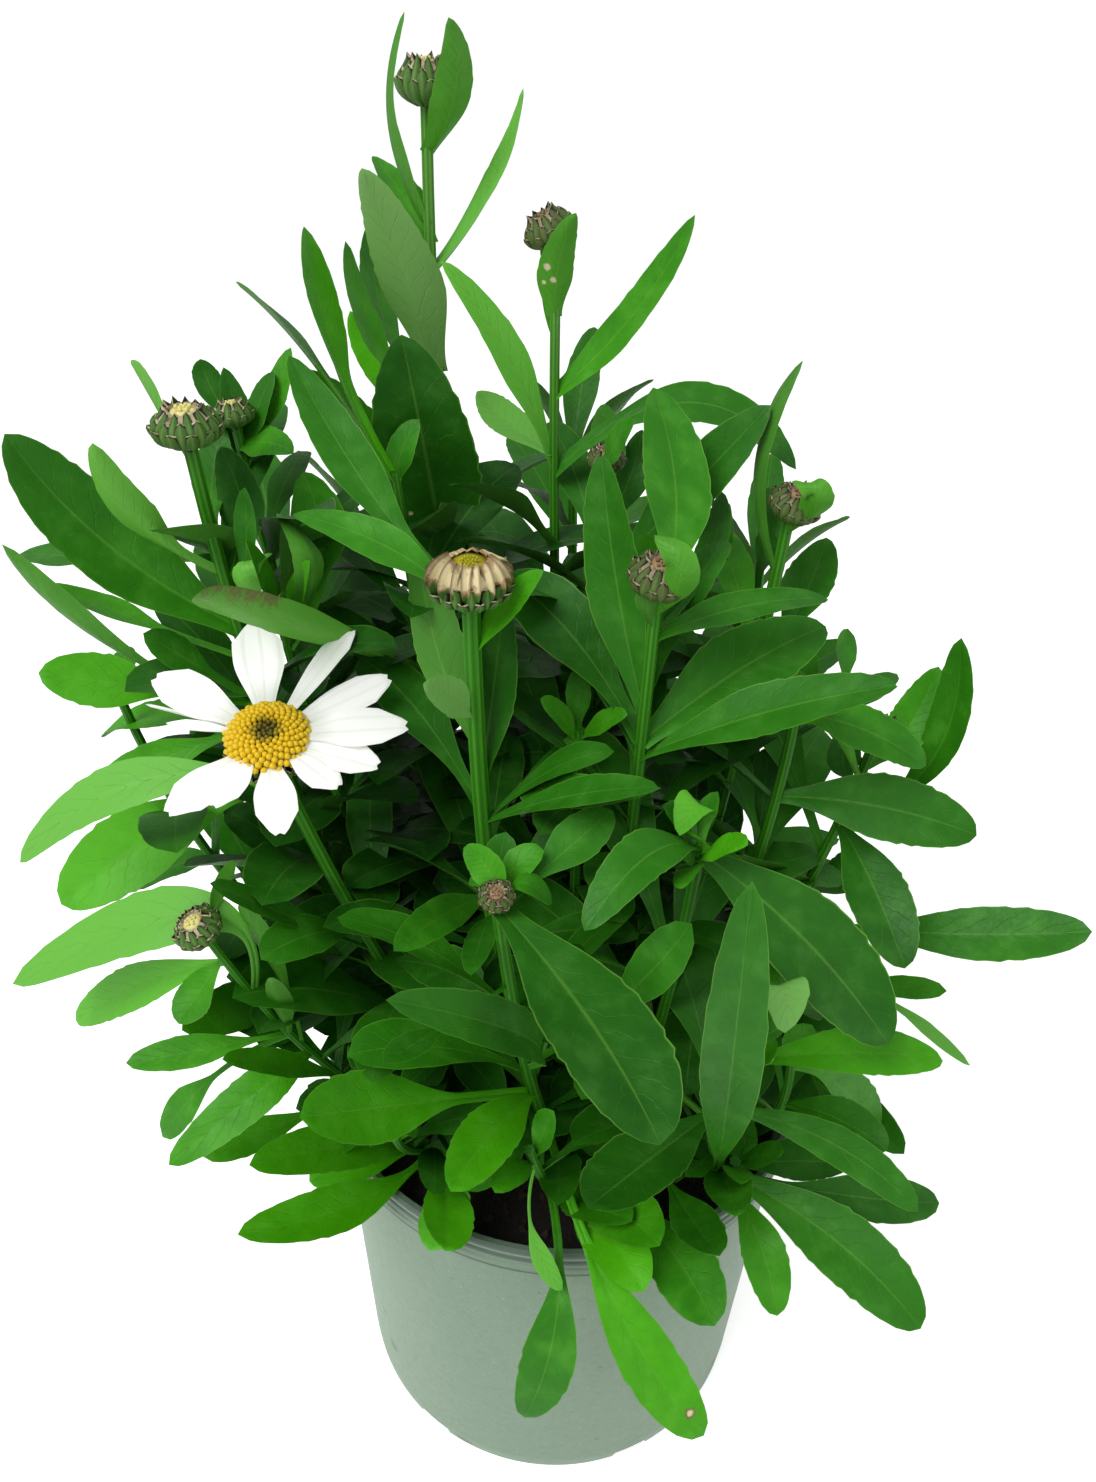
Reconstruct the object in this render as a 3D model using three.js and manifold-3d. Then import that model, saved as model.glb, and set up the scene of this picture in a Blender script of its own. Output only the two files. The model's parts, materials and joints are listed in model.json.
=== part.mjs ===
// Potted dwarf daisy: a nursery pot of soil, leafy stems, closed buds and one open flower.
// Millimetres, +Z up, origin at the middle of the pot's underside, photo side towards -Y.
import * as THREE from 'three';
import ManifoldModule from 'manifold-3d';

// Driving dimensions
const POT_HEIGHT = 115;
const RIM_RADIUS = 70;
const RIM_BAND = 9;
const WALL_TOP_RADIUS = 67.3;
const BASE_RADIUS = 61.5;
const WALL = 2;
const POT_SIDES = 28;
const DRAIN_NOTCHES = 6;
const DRAIN_WIDTH = 14;
const DRAIN_HEIGHT = 3;
const SOIL_TOP = 105;
const GAP = 0.3;
const STEM_FOOT = 101;
const STEM_RISE = 107.5;
const STEM_SIDES = 5;
const STEM_PIECES = 4;
const BLADE_THICK = 0.75;
const BLADE_CUP = 0.22;

// A stem: foot x, y, then the point that bends it x, y, z, then its top x, y, z, then its radius.
const STEMS = {
  tall: [-8, 16, -38, 22, 190, -38, 20, 362, 1.3],
  back: [6, 14, -8, 18, 200, -10, 15, 337, 1.2],
  left: [-20, 2, -72, -6, 150, -85, -15, 299, 1.6],
  cream: [-6, -14, -22, -38, 170, -24, -45, 279, 1.9],
  folded: [10, -10, 12, -30, 180, 13, -35, 278, 1.4],
  hidden: [2, 6, 2, 8, 200, 3, 5, 291, 1.1],
  right: [24, 4, 38, 0, 180, 44, -5, 285, 1.5],
  bloom: [-22, -12, -44, -36, 160, -67, -42, 240, 1.5],
  low_left: [-30, -20, -58, -44, 130, -82, -56, 202, 1.0],
  curl: [-16, -6, -58, -4, 165, -72, -6, 256, 1.2],
  edge_left: [-34, 8, -100, 0, 150, -115, -5, 239, 1.2],
  crown_front: [0, -30, -10, -58, 150, -17, -72, 227, 1.4],
  coil: [18, -18, 22, -48, 160, 24, -58, 232, 1.3],
  fold_right: [30, -24, 34, -60, 140, 36, -76, 196, 1.2],
  nest: [4, -4, 0, -20, 170, -1, -25, 240, 1.3],
  rosette_right: [36, -30, 40, -50, 120, 41, -62, 142, 1.4],
  brown_right: [34, 2, 60, -8, 160, 70, -15, 234, 1.3],
  rear_left: [-30, 34, -54, 54, 165, -60, 56, 258, 1.4],
  rear_mid: [-2, 40, 0, 60, 175, -4, 62, 282, 1.4],
  rear_right: [34, 30, 54, 50, 165, 50, 54, 250, 1.4],
  mid_right: [20, -2, 48, -14, 160, 49, -20, 247, 1.3],
  mid_left: [-16, 6, -30, 0, 170, -44, -5, 292, 1.2],
  low_front: [0, -40, -4, -56, 118, -9, -74, 158, 1.2],
  low_side: [-30, -28, -44, -48, 118, -41, -66, 154, 1.1],
  low_right: [44, -24, 60, -40, 122, 53, -52, 166, 1.1],
  back_right: [22, 14, 52, 26, 160, 45, 26, 263, 1.3],
  back_left: [-26, 20, -66, 16, 160, -81, 6, 298, 1.2],
};

// Leaves by stem. A row: height on the stem, bending point x, y, z, tip x, y, z, width,
// turn about its own length in degrees, share of its length that is stalk.
const LEAVES = {
  tall: [
    [252, -38, 10, 290, -42, 0, 320, 24, 152, 0],
    [274, -53, 15, 293, -66, 10, 310, 11, 74, 0.3],
    [298, -56, 19, 313, -56, 18, 336, 10, 30, 0.3],
    [302, -56, 30, 316, -53, 40, 340, 12, -24, 0.3],
    [308, -43, 11, 335, -49, 2, 351, 15, -16, 0],
    [330, -21, 22, 347, -18, 24, 366, 9, -14, 0],
    [335, -45, 28, 346, -52, 36, 352, 10, 0, 0],
    [339, -52, 25, 359, -43, 29, 379, 9, -76, 0],
    [353, -28, 14, 366, -32, 8, 377, 9, -6, 0],
  ],
  back: [
    [287, 22, 12, 321, 47, 8, 292, 12, -40, 0.2],
    [288, -18, 11, 317, -34, 6, 334, 9, 64, 0.1],
    [305, 11, 14, 323, 19, 12, 344, 10, -46, 0],
    [319, -15, 18, 332, -7, 20, 343, 6, 0, 0.5],
    [322, -11, 11, 335, -6, 6, 344, 8, 10, 0],
  ],
  left: [
    [214, -103, -20, 209, -127, -30, 188, 19, 54, 0.2],
    [231, -95, -17, 226, -114, -24, 221, 9, 48, 0.3],
    [232, -115, -10, 245, -132, -10, 274, 8, -68, 0.3],
    [235, -90, -13, 246, -101, -16, 256, 9, 36, 0.4],
    [236, -102, -16, 242, -124, -22, 248, 13, 52, 0.4],
    [248, -104, -4, 252, -131, 4, 259, 9, 4, 0.4],
    [256, -110, -17, 275, -120, -22, 302, 20, 46, 0],
    [258, -74, -16, 276, -73, -20, 292, 7, -100, 0.3],
    [263, -73, -8, 280, -82, -4, 296, 11, 12, 0.3],
    [270, -100, -22, 282, -99, -30, 303, 9, -44, 0.2],
    [273, -115, 3, 266, -143, 18, 261, 9, 22, 0.5],
    [295, -94, -6, 306, -100, -1, 313, 7, -76, 0.4],
  ],
  cream: [
    [194, -20, -61, 213, -21, -86, 220, 7, -14, 0],
    [200, -27, -62, 218, -35, -88, 227, 8, 36, 0],
    [223, -4, -55, 243, 13, -70, 253, 8, -28, 0],
    [233, -20, -36, 251, -18, -30, 275, 12, 10, 0],
    [245, -33, -38, 264, -35, -34, 284, 13, -100, 0],
    [252, -28, -50, 261, -32, -58, 267, 8, 86, 0],
    [267, -17, -45, 279, -10, -46, 286, 7, -44, 0],
    [276, -37, -37, 288, -61, -30, 290, 9, 28, 0.2],
    [276, -47, -25, 290, -65, -5, 316, 11, 14, 0.3],
  ],
  folded: [
    [216, 26, -44, 220, 35, -60, 226, 7, -30, 0.2],
    [237, 37, -40, 256, 61, -48, 265, 13, -30, 0],
    [237, 6, -21, 253, -2, -11, 265, 10, 18, 0],
    [241, 34, -21, 257, 55, -10, 261, 18, -28, 0],
    [249, 4, -28, 277, 1, -22, 302, 14, 80, 0],
    [265, 14, -28, 276, 10, -22, 286, 8, -18, 0.4],
    [267, 33, -25, 274, 53, -16, 270, 9, -20, 0],
    [268, 29, -14, 272, 30, 6, 287, 8, 24, 0.3],
    [273, 16, -26, 277, 18, -23, 279, 8, -98, 0],
    [275, 22, -18, 288, 12, 0, 311, 16, -18, 0.2],
  ],
  hidden: [
    [262, 17, 1, 282, 37, -4, 309, 14, -60, 0.2],
    [278, 0, -2, 295, 8, -8, 306, 7, -92, 0.5],
    [287, 4, 20, 294, 3, 32, 300, 9, -14, 0],
  ],
  right: [
    [245, 54, 5, 258, 58, 14, 274, 14, 6, 0.3],
    [268, 48, 4, 278, 40, 10, 287, 7, -6, 0.4],
    [271, 29, -3, 297, 43, -2, 318, 8, -100, 0],
    [281, 45, 3, 284, 46, 5, 287, 7, -100, 0],
  ],
  bloom: [
    [180, -65, -48, 201, -77, -62, 221, 7, 38, 0.2],
    [232, -97, -45, 245, -124, -48, 214, 11, 42, 0.1],
  ],
  low_left: [
    [136, -73, -50, 135, -89, -62, 137, 9, 26, 0.3],
    [144, -67, -58, 166, -76, -73, 182, 7, 44, 0],
    [157, -66, -59, 166, -93, -72, 146, 11, 28, 0],
    [160, -67, -49, 189, -75, -52, 208, 6, -52, 0.3],
    [165, -68, -54, 179, -67, -60, 194, 6, 12, 0],
    [165, -89, -49, 156, -104, -50, 129, 9, 52, 0.5],
    [166, -82, -55, 167, -104, -60, 166, 8, 30, 0.2],
    [181, -65, -51, 227, -132, -50, 180, 14, 40, 0.2],
    [193, -102, -46, 181, -126, -38, 157, 11, 60, 0],
    [199, -83, -50, 207, -77, -47, 216, 6, -84, 0.3],
  ],
  curl: [
    [248, -65, -7, 266, -68, -9, 282, 10, -28, 0.2],
    [249, -56, -1, 269, -66, 3, 289, 14, -18, 0.4],
    [253, -67, -20, 266, -64, -35, 274, 6, 100, 0],
    [253, -71, -18, 270, -71, -30, 284, 6, 100, 0],
    [253, -65, -16, 267, -59, -27, 279, 6, -100, 0],
  ],
  edge_left: [
    [140, -81, -25, 156, -92, -54, 171, 13, 44, 0.2],
    [234, -114, 0, 240, -113, 4, 243, 7, 6, 0],
  ],
  crown_front: [
    [113, 27, -61, 118, 36, -87, 115, 16, -18, 0.4],
    [132, 8, -92, 124, 35, -98, 89, 14, -12, 0.3],
    [152, -17, -72, 165, -25, -92, 166, 13, 16, 0],
    [153, -37, -70, 167, -56, -88, 182, 16, 32, 0.3],
    [166, 2, -81, 200, -34, -104, 230, 11, 62, 0],
    [167, 12, -70, 199, 20, -82, 231, 10, -80, 0.4],
    [200, -27, -85, 205, -35, -104, 215, 6, 12, 0.5],
    [211, -21, -65, 228, -8, -63, 233, 7, -16, 0.5],
    [212, -19, -63, 222, -16, -57, 233, 7, 0, 0.5],
    [217, -16, -69, 237, -6, -70, 225, 7, -6, 0.4],
    [223, -17, -67, 232, -23, -67, 227, 6, 24, 0],
    [224, -17, -68, 233, -24, -66, 235, 7, 56, 0],
    [224, -6, -61, 229, 6, -52, 236, 10, -22, 0.3],
    [225, 4, -95, 218, 13, -118, 213, 22, 2, 0],
  ],
  coil: [
    [118, 27, -58, 123, 33, -92, 148, 11, -12, 0.5],
    [215, 29, -55, 232, 16, -54, 239, 7, 28, 0.4],
    [216, 24, -52, 228, 28, -48, 239, 6, 28, 0.4],
    [226, 21, -68, 234, 18, -78, 236, 6, -28, 0],
    [227, 27, -64, 237, 31, -70, 241, 7, -36, 0],
    [230, 13, -71, 247, 0, -84, 230, 11, 10, 0],
    [230, 47, -69, 220, 63, -80, 200, 20, -30, 0],
  ],
  fold_right: [
    [159, 16, -83, 166, 3, -104, 178, 17, 0, 0],
    [162, 59, -75, 171, 76, -86, 157, 9, -30, 0],
    [177, 42, -70, 190, 32, -70, 201, 8, 62, 0.4],
    [179, 39, -66, 190, 44, -63, 200, 9, -20, 0.3],
    [186, 57, -72, 192, 79, -72, 188, 11, -18, 0],
    [188, 37, -82, 200, 37, -90, 204, 8, -34, 0],
  ],
  nest: [
    [229, -1, -21, 241, -2, -18, 252, 6, 0, 0.4],
    [236, -5, -27, 245, -10, -30, 250, 6, 54, 0],
    [237, 4, -29, 245, 9, -34, 249, 6, -48, 0],
    [238, -27, -40, 226, 15, -57, 245, 10, -38, 0.2],
  ],
  rosette_right: [
    [122, 46, -57, 137, 51, -66, 151, 7, -44, 0.3],
    [124, 38, -69, 146, 36, -88, 156, 11, -12, 0],
    [124, 30, -95, 176, 27, -95, 251, 12, 180, 0.2],
    [124, 48, -70, 132, 52, -82, 112, 11, -10, 0.2],
    [124, 49, -50, 131, 45, -50, 147, 7, -52, 0],
    [124, 66, -58, 124, 100, -50, 114, 12, -32, 0.3],
    [126, 69, -68, 127, 86, -84, 112, 17, -30, 0],
    [135, 40, -66, 145, 40, -75, 150, 7, 4, 0],
    [137, 36, -62, 149, 32, -66, 158, 7, 74, 0],
  ],
  brown_right: [
    [153, 78, -13, 156, 101, -20, 161, 7, -28, 0.5],
    [166, 55, -43, 181, 49, -78, 204, 8, -18, 0],
    [173, 97, -21, 179, 125, -34, 194, 14, -44, 0.2],
    [173, 84, -18, 158, 109, -28, 142, 7, 8, 0.5],
    [208, 72, -28, 204, 78, -44, 189, 15, -24, 0],
    [208, 95, -13, 221, 85, -14, 261, 11, -38, 0.2],
    [222, 60, -21, 241, 44, -8, 251, 9, -60, 0.1],
    [232, 60, -5, 245, 64, 3, 255, 8, -22, 0.5],
  ],
  rear_left: [
    [183, -72, 63, 195, -93, 75, 196, 13, 6, 0],
    [210, -38, 64, 225, -21, 74, 228, 13, -8, 0],
    [228, -67, 72, 246, -77, 89, 251, 13, 4, 0],
    [252, -50, 49, 271, -40, 42, 279, 10, 6, 0],
    [253, -69, 53, 273, -78, 49, 281, 10, -8, 0],
    [254, -57, 69, 275, -55, 81, 284, 10, 4, 0],
  ],
  rear_mid: [
    [207, -23, 70, 220, -44, 82, 220, 13, 6, 0],
    [234, 15, 70, 249, 32, 80, 252, 13, -8, 0],
    [252, -13, 78, 270, -23, 96, 275, 13, 4, 0],
    [276, 6, 55, 296, 16, 48, 303, 10, 6, 0],
    [277, -13, 59, 297, -22, 55, 305, 10, -8, 0],
    [278, -2, 75, 300, 1, 87, 309, 10, 4, 0],
  ],
  rear_right: [
    [175, 27, 59, 187, 7, 71, 188, 13, 6, 0],
    [202, 68, 60, 217, 85, 70, 221, 13, -8, 0],
    [220, 41, 69, 237, 31, 87, 243, 13, 4, 0],
    [244, 60, 47, 263, 70, 40, 271, 10, 6, 0],
    [245, 41, 50, 265, 32, 47, 273, 10, -8, 0],
    [246, 52, 66, 268, 55, 79, 277, 10, 4, 0],
  ],
  mid_right: [
    [219, 71, -24, 224, 93, -30, 218, 16, -52, 0],
    [235, 51, -7, 241, 56, 3, 249, 8, 12, 0.3],
    [236, 64, -2, 236, 82, 14, 238, 8, -14, 0.4],
    [240, 52, -25, 249, 56, -30, 252, 8, -60, 0],
    [243, 64, -23, 244, 79, -26, 234, 12, -36, 0],
  ],
  mid_left: [
    [242, -57, -39, 278, -70, -74, 292, 9, -58, 0],
    [279, -47, -1, 291, -39, 2, 302, 8, 0, 0.4],
    [289, -60, 4, 312, -64, 14, 339, 14, -28, 0.4],
    [289, -63, 10, 317, -83, 25, 326, 8, -34, 0.4],
  ],
  low_front: [
    [112, 12, -61, 127, 22, -80, 134, 16, -20, 0],
    [124, 4, -92, 124, -8, -92, 83, 13, 0, 0.3],
    [146, -12, -75, 130, 0, -82, 119, 5, 0, 0.4],
    [148, -12, -79, 159, -16, -88, 161, 7, 16, 0],
    [150, -6, -73, 163, -4, -76, 173, 7, -96, 0],
  ],
  low_side: [
    [112, -25, -56, 114, -32, -82, 132, 13, 6, 0.3],
    [112, -52, -57, 140, -71, -80, 157, 12, 42, 0],
    [113, -46, -60, 116, -75, -83, 137, 12, 28, 0.2],
    [141, -38, -62, 154, -35, -64, 164, 8, -82, 0],
  ],
  low_right: [
    [144, 66, -55, 153, 76, -64, 150, 11, -32, 0],
    [151, 53, -47, 164, 58, -47, 173, 8, -62, 0.3],
    [164, 71, -43, 154, 85, -36, 120, 14, -62, 0.2],
  ],
  back_right: [
    [241, 34, 20, 262, 33, 14, 282, 7, 62, 0.3],
    [252, 44, 24, 265, 48, 22, 275, 8, -92, 0.3],
  ],
  back_left: [
    [288, -81, 11, 296, -85, 15, 309, 8, -6, 0],
    [289, -73, 11, 301, -69, 14, 314, 7, -30, 0.3],
    [292, -76, 9, 302, -73, 12, 309, 8, -16, 0],
    [293, -74, 3, 297, -67, 0, 294, 9, -34, 0],
  ],
};

// Short leaves that fill the inside and the back, in rows of the same kind.
const INNER = {
  back: [
    [116, 9, 32, 141, 13, 49, 148, 16, 13, 0.1],
    [167, 11, 4, 177, 21, -7, 178, 10, -1, 0.1],
  ],
  left: [
    [166, -49, 6, 188, -40, 16, 195, 14, -5, 0.1],
  ],
  hidden: [
    [116, 10, -3, 123, 18, -14, 121, 10, -2, 0.1],
    [207, 0, 24, 222, -2, 40, 225, 11, -2, 0.1],
  ],
  right: [
    [188, 41, 10, 208, 47, 22, 214, 13, -12, 0.1],
  ],
  curl: [
    [211, -62, 11, 225, -63, 27, 227, 12, -5, 0.1],
  ],
  edge_left: [
    [130, -71, 19, 154, -80, 33, 162, 16, -11, 0.1],
  ],
  brown_right: [
    [116, 56, 17, 131, 74, 34, 130, 16, 11, 0.1],
  ],
  rear_left: [
    [116, -37, 30, 124, -41, 21, 125, 8, 4, 0.1],
  ],
  rear_mid: [
    [116, -25, 55, 134, -48, 67, 134, 16, -13, 0.1],
  ],
  rear_right: [
    [129, 39, 61, 147, 38, 85, 148, 16, -5, 0.1],
  ],
  mid_left: [
    [144, -23, -10, 154, -23, -24, 154, 9, 0, 0.1],
  ],
  back_right: [
    [166, 61, 25, 177, 80, 28, 176, 13, -3, 0.1],
  ],
};

// A closed bud: stem, radius, height, lean of its axis x, y, z, radius of the pale middle.
const BUDS = [
  ['tall', 6.2, 10, 0, -0.1, 1, 0.6],
  ['back', 5.4, 8, -0.5, -0.2, 0.85, 0.5],
  ['left', 7.6, 9.5, 0, -0.16, 1, 0.62],
  ['cream', 7.9, 9.5, 0, -0.3, 0.95, 0],
  ['folded', 6.8, 9, 0.1, -0.3, 0.95, 0.55],
  ['hidden', 4.4, 6.5, 0, -0.2, 1, 0.5],
  ['right', 6, 8, 0.2, -0.35, 0.9, 0.55],
  ['low_left', 5.5, 7.5, -0.3, -0.35, 0.9, 0.5],
  ['brown_right', 5.4, 7.5, 0.2, -0.25, 0.95, 0.55],
  ['back_left', 4.8, 6.5, -0.1, -0.1, 1, 0.5],
  ['crown_front', 3.6, 4.5, 0, -0.5, 0.86, 0.55],
];

// The open flower: its axis, depth of its cup, radius of its disc, and rays as angle, reach,
// width, lift, turn.
const FLOWER = {
  axis: [0.06, -0.39, 0.92],
  cupDepth: 6,
  discRadius: 9.2,
  rays: [
    [-130, 26, 9, -1, -6],
    [-112, 20, 7, -0.5, 0],
    [-74, 23.5, 8.5, -1.5, 0],
    [-33, 20, 8, -1, 10],
    [-11, 24.5, 9, 0, 0],
    [11, 29.5, 10.5, 0, 4],
    [39, 30, 8.5, 1, -6],
    [66, 33, 8.5, 2, 24],
    [106, 33, 11, 1.5, 0],
    [155, 29.5, 9.5, 1, 6],
    [168, 28.5, 4, -0.5, -50],
    [180, 23, 3.5, -1, 45],
  ],
};

const wasm = await ManifoldModule();
wasm.setup();
const { Manifold, Mesh } = wasm;
const V = (x, y, z) => new THREE.Vector3(x, y, z);
const UP = V(0, 0, 1);

// Turn points and triangles into a solid that faces outward.
function solid(points, faces) {
  let volume = 0;
  for (const [a, b, c] of faces) {
    volume += points[a].dot(points[b].clone().cross(points[c])) / 6;
  }
  const triVerts = new Uint32Array(faces.length * 3);
  faces.forEach(([a, b, c], i) => {
    triVerts.set(volume > 0 ? [a, b, c] : [a, c, b], 3 * i);
  });
  const vertProperties = new Float32Array(points.length * 3);
  points.forEach((p, i) => vertProperties.set([p.x, p.y, p.z], 3 * i));
  return new Manifold(new Mesh({ numProp: 3, vertProperties, triVerts }));
}

function join(solids) {
  return Manifold.union(solids);
}

// A closed skin through rings of equal count, with a flat or pointed end at each side.
function skin(rings) {
  const points = [];
  const faces = [];
  const count = rings[0].length;
  rings.forEach((ring) => points.push(...ring));
  for (let r = 0; r + 1 < rings.length; r += 1) {
    for (let k = 0; k < count; k += 1) {
      const a = r * count + k;
      const b = r * count + ((k + 1) % count);
      faces.push([a, b, b + count]);
      faces.push([a, b + count, a + count]);
    }
  }
  const middle = (ring) => ring.reduce((s, p) => s.add(p), V(0, 0, 0)).divideScalar(count);
  const last = (rings.length - 1) * count;
  points.push(middle(rings[0]), middle(rings[rings.length - 1]));
  for (let k = 0; k < count; k += 1) {
    const n = (k + 1) % count;
    faces.push([points.length - 2, n, k]);
    faces.push([points.length - 1, last + k, last + n]);
  }
  return solid(points, faces);
}

// A solid of revolution about Z from an outline that starts and ends on the axis.
function turned(outline, sides, shape = (r, z) => [r, z]) {
  const rings = outline.slice(1, -1).map(([r, z], row) => {
    const ring = [];
    for (let k = 0; k < sides; k += 1) {
      const angle = (2 * Math.PI * k) / sides;
      const [radius, height] = shape(r, z, k, row);
      ring.push(V(radius * Math.cos(angle), radius * Math.sin(angle), height));
    }
    return ring;
  });
  return skin(rings);
}

function bezier(a, m, b, u) {
  return a.clone().multiplyScalar((1 - u) ** 2)
    .addScaledVector(m, 2 * u * (1 - u))
    .addScaledVector(b, u * u);
}

function bezierSlope(a, m, b, u) {
  return m.clone().sub(a).multiplyScalar(1 - u)
    .addScaledVector(b.clone().sub(m), u).normalize();
}

function stemCurve(name) {
  const [fx, fy, mx, my, mz, tx, ty, tz, radius] = STEMS[name];
  return { a: V(fx, fy, STEM_RISE), m: V(mx, my, mz), b: V(tx, ty, tz), radius };
}

function stemShare(curve, height) {
  let low = 0;
  let high = 1;
  for (let i = 0; i < 30; i += 1) {
    const mid = (low + high) / 2;
    if (bezier(curve.a, curve.m, curve.b, mid).z < height) {
      low = mid;
    } else {
      high = mid;
    }
  }
  return (low + high) / 2;
}

function stemSolid(name) {
  const { a, m, b, radius } = stemCurve(name);
  const rings = [];
  for (let i = -1; i <= STEM_PIECES; i += 1) {
    const u = Math.max(0, i / STEM_PIECES);
    const p = bezier(a, m, b, u);
    const t = i < 1 ? UP.clone() : bezierSlope(a, m, b, u);
    if (i < 0) {
      p.z = STEM_FOOT;
    }
    const side = V(1, 0, 0).addScaledVector(t, -t.x).normalize();
    const other = t.clone().cross(side);
    const r = radius * (1.12 - 0.2 * u);
    const ring = [];
    for (let k = 0; k < STEM_SIDES; k += 1) {
      const angle = (2 * Math.PI * k) / STEM_SIDES;
      ring.push(p.clone().addScaledVector(side, r * Math.cos(angle))
        .addScaledVector(other, r * Math.sin(angle)));
    }
    rings.push(ring);
  }
  return skin(rings);
}

const smooth = (x) => x * x * (3 - 2 * x);

// Where along its blade a leaf is widest: past the middle low on a stem, nearer the foot at its top.
function leafPeak(height) {
  return 0.58 - 0.22 * Math.min(Math.max((height - 200) / 120, 0), 1);
}

// Half width of a leaf along its blade, 0 at the foot and 1 at the tip.
function leafWidth(v, peak) {
  const foot = 0.16 + 1.2 * (0.58 - peak);
  const grow = foot + (1 - foot) * smooth(Math.min(v / peak, 1));
  const s = Math.max(0, (v - peak) / (1 - peak));
  return grow * Math.max(0, 1 - s ** (1 + 2 * peak)) ** (0.9 - 0.6 * peak);
}

// Places along the blade, each with a factor that cuts the teeth of the edge.
const BROAD = 15;
const WIDE_PLACES = [[0, 1], [0.3, 1], [0.5, 1.07], [0.55, 0.93], [0.72, 1.1], [0.77, 0.9], [0.93, 1], [1, 0]];
const NARROW_PLACES = [[0, 1], [0.36, 1], [0.66, 1], [0.9, 1], [1, 0]];
const SMALL_PLACES = [[0, 1], [0.42, 1], [0.84, 1], [1, 0]];

// A blade of even thickness that follows its midrib and is raised at both edges. Its foot can be
// narrower, to end inside a thin stem.
function blade(a, m, b, width, turn, stalk, places, widthAt, cup, foot = 0) {
  const across = cup === 0 ? [1, -1] : [1, 0, -1];
  const n = across.length;
  const heading = V(b.x - a.x, b.y - a.y, 0);
  if (heading.length() < 0.5) {
    heading.set(0, -1, 0);
  }
  heading.normalize();
  const level = heading.clone().cross(UP);
  const all = stalk > 0.05 ? [[-stalk / (1 - stalk), 1], ...places] : places;
  const points = [];
  const faces = [];
  const rows = all.length;
  all.forEach(([v, factor], i) => {
    const u = Math.max(0, stalk > 0.05 ? stalk + (1 - stalk) * v : v);
    const p = bezier(a, m, b, u);
    const t = bezierSlope(a, m, b, u);
    const s0 = level.clone().addScaledVector(t, -level.dot(t)).normalize();
    const n0 = s0.clone().cross(t);
    const c = Math.cos((turn * Math.PI) / 180);
    const s = Math.sin((turn * Math.PI) / 180);
    const side = s0.clone().multiplyScalar(c).addScaledVector(n0, s);
    const normal = n0.clone().multiplyScalar(c).addScaledVector(s0, -s);
    const half = i === 0 && foot > 0 ? foot : (width / 2) * widthAt(Math.max(0, v)) * factor;
    const lift = cup * half;
    for (const face of [BLADE_THICK / 2, -BLADE_THICK / 2]) {
      if (factor === 0) {
        points.push(p.clone().addScaledVector(normal, face));
      } else {
        for (const k of across) {
          points.push(p.clone().addScaledVector(side, k * half)
            .addScaledVector(normal, face + lift * k * k));
        }
      }
    }
    const o = 2 * n * (i - 1);
    const q = o + 2 * n;
    const end = n - 1;
    for (let k = 0; k < end; k += 1) {
      if (i === 0) {
        faces.push([k, k + n, k + 1], [k + 1, k + n, k + n + 1]);
      } else if (factor === 0) {
        faces.push([o + k, o + k + 1, q], [o + n + k + 1, o + n + k, q + 1]);
      } else {
        faces.push([o + k, o + k + 1, q + k], [o + k + 1, q + k + 1, q + k]);
        faces.push([o + n + k, q + n + k, o + n + k + 1], [o + n + k + 1, q + n + k, q + n + k + 1]);
      }
      if (i === rows - 1 && factor !== 0) {
        faces.push([q + k, q + k + 1, q + k + n], [q + k + 1, q + k + n + 1, q + k + n]);
      }
    }
    if (i > 0 && factor === 0) {
      faces.push([o + n, o, q], [o + n, q, q + 1], [o + end, o + n + end, q + 1], [o + end, q + 1, q]);
    } else if (i > 0) {
      faces.push([o + n, o, q], [o + n, q, q + n]);
      faces.push([o + end, o + n + end, q + end], [o + n + end, q + n + end, q + end]);
    }
  });
  return solid(points, faces);
}

function leafSolid(name, row, inner = false) {
  const [height, mx, my, mz, tx, ty, tz, width, turn, stalk] = row;
  const curve = stemCurve(name);
  const a = bezier(curve.a, curve.m, curve.b, stemShare(curve, height));
  const narrow = width >= 11 ? NARROW_PLACES : SMALL_PLACES;
  const places = width >= BROAD && !inner ? WIDE_PLACES : narrow;
  const cup = width >= BROAD && !inner ? BLADE_CUP : 0;
  const foot = 0.45 * curve.radius;
  const peak = leafPeak(height);
  const widthAt = (v) => leafWidth(v, peak);
  return blade(a, V(mx, my, mz), V(tx, ty, tz), width, turn, stalk, places, widthAt, cup, foot);
}

// Stand a solid that was made about Z on a point, along an axis.
function stand(body, at, axis) {
  const q = new THREE.Quaternion().setFromUnitVectors(UP, axis.clone().normalize());
  const m = new THREE.Matrix4().compose(at, q, V(1, 1, 1));
  return body.transform(m.elements);
}

// Where a head stands: just clear of the tip of its stem.
function headPlace(stem, axis) {
  const curve = stemCurve(stem);
  const lean = bezierSlope(curve.a, curve.m, curve.b, 1).cross(axis).length();
  return curve.b.clone().addScaledVector(axis, GAP + lean * curve.radius);
}

// Rows of overlapping bracts, each row a scalloped step in one closed cup with a well on top.
function budCup(radius, height, sides, well) {
  const rows = radius > 5 ? [
    [0.3, 0, 0], [0.84, 0.2, 0], [1, 0.44, 0.06], [0.93, 0.46, 0],
    [0.96, 0.66, 0.06], [0.84, 0.7, 0], [0.76, 0.92, 0.06],
    [well, 1, 0.04], [well, 0.8, 0],
  ] : [
    [0.35, 0, 0], [1, 0.4, 0.08], [0.9, 0.46, 0], [0.84, 0.84, 0.08], [well, 1, 0.04], [well, 0.8, 0],
  ];
  const outline = [[0, 0], ...rows.map(([r, z]) => [r * radius, z * height]), [0, 0]];
  return turned(outline, sides, (r, z, k, row) => {
    const wave = (k + row) % 2 ? 1 : -1;
    return [r, z + wave * rows[row][2] * height];
  });
}

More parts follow.
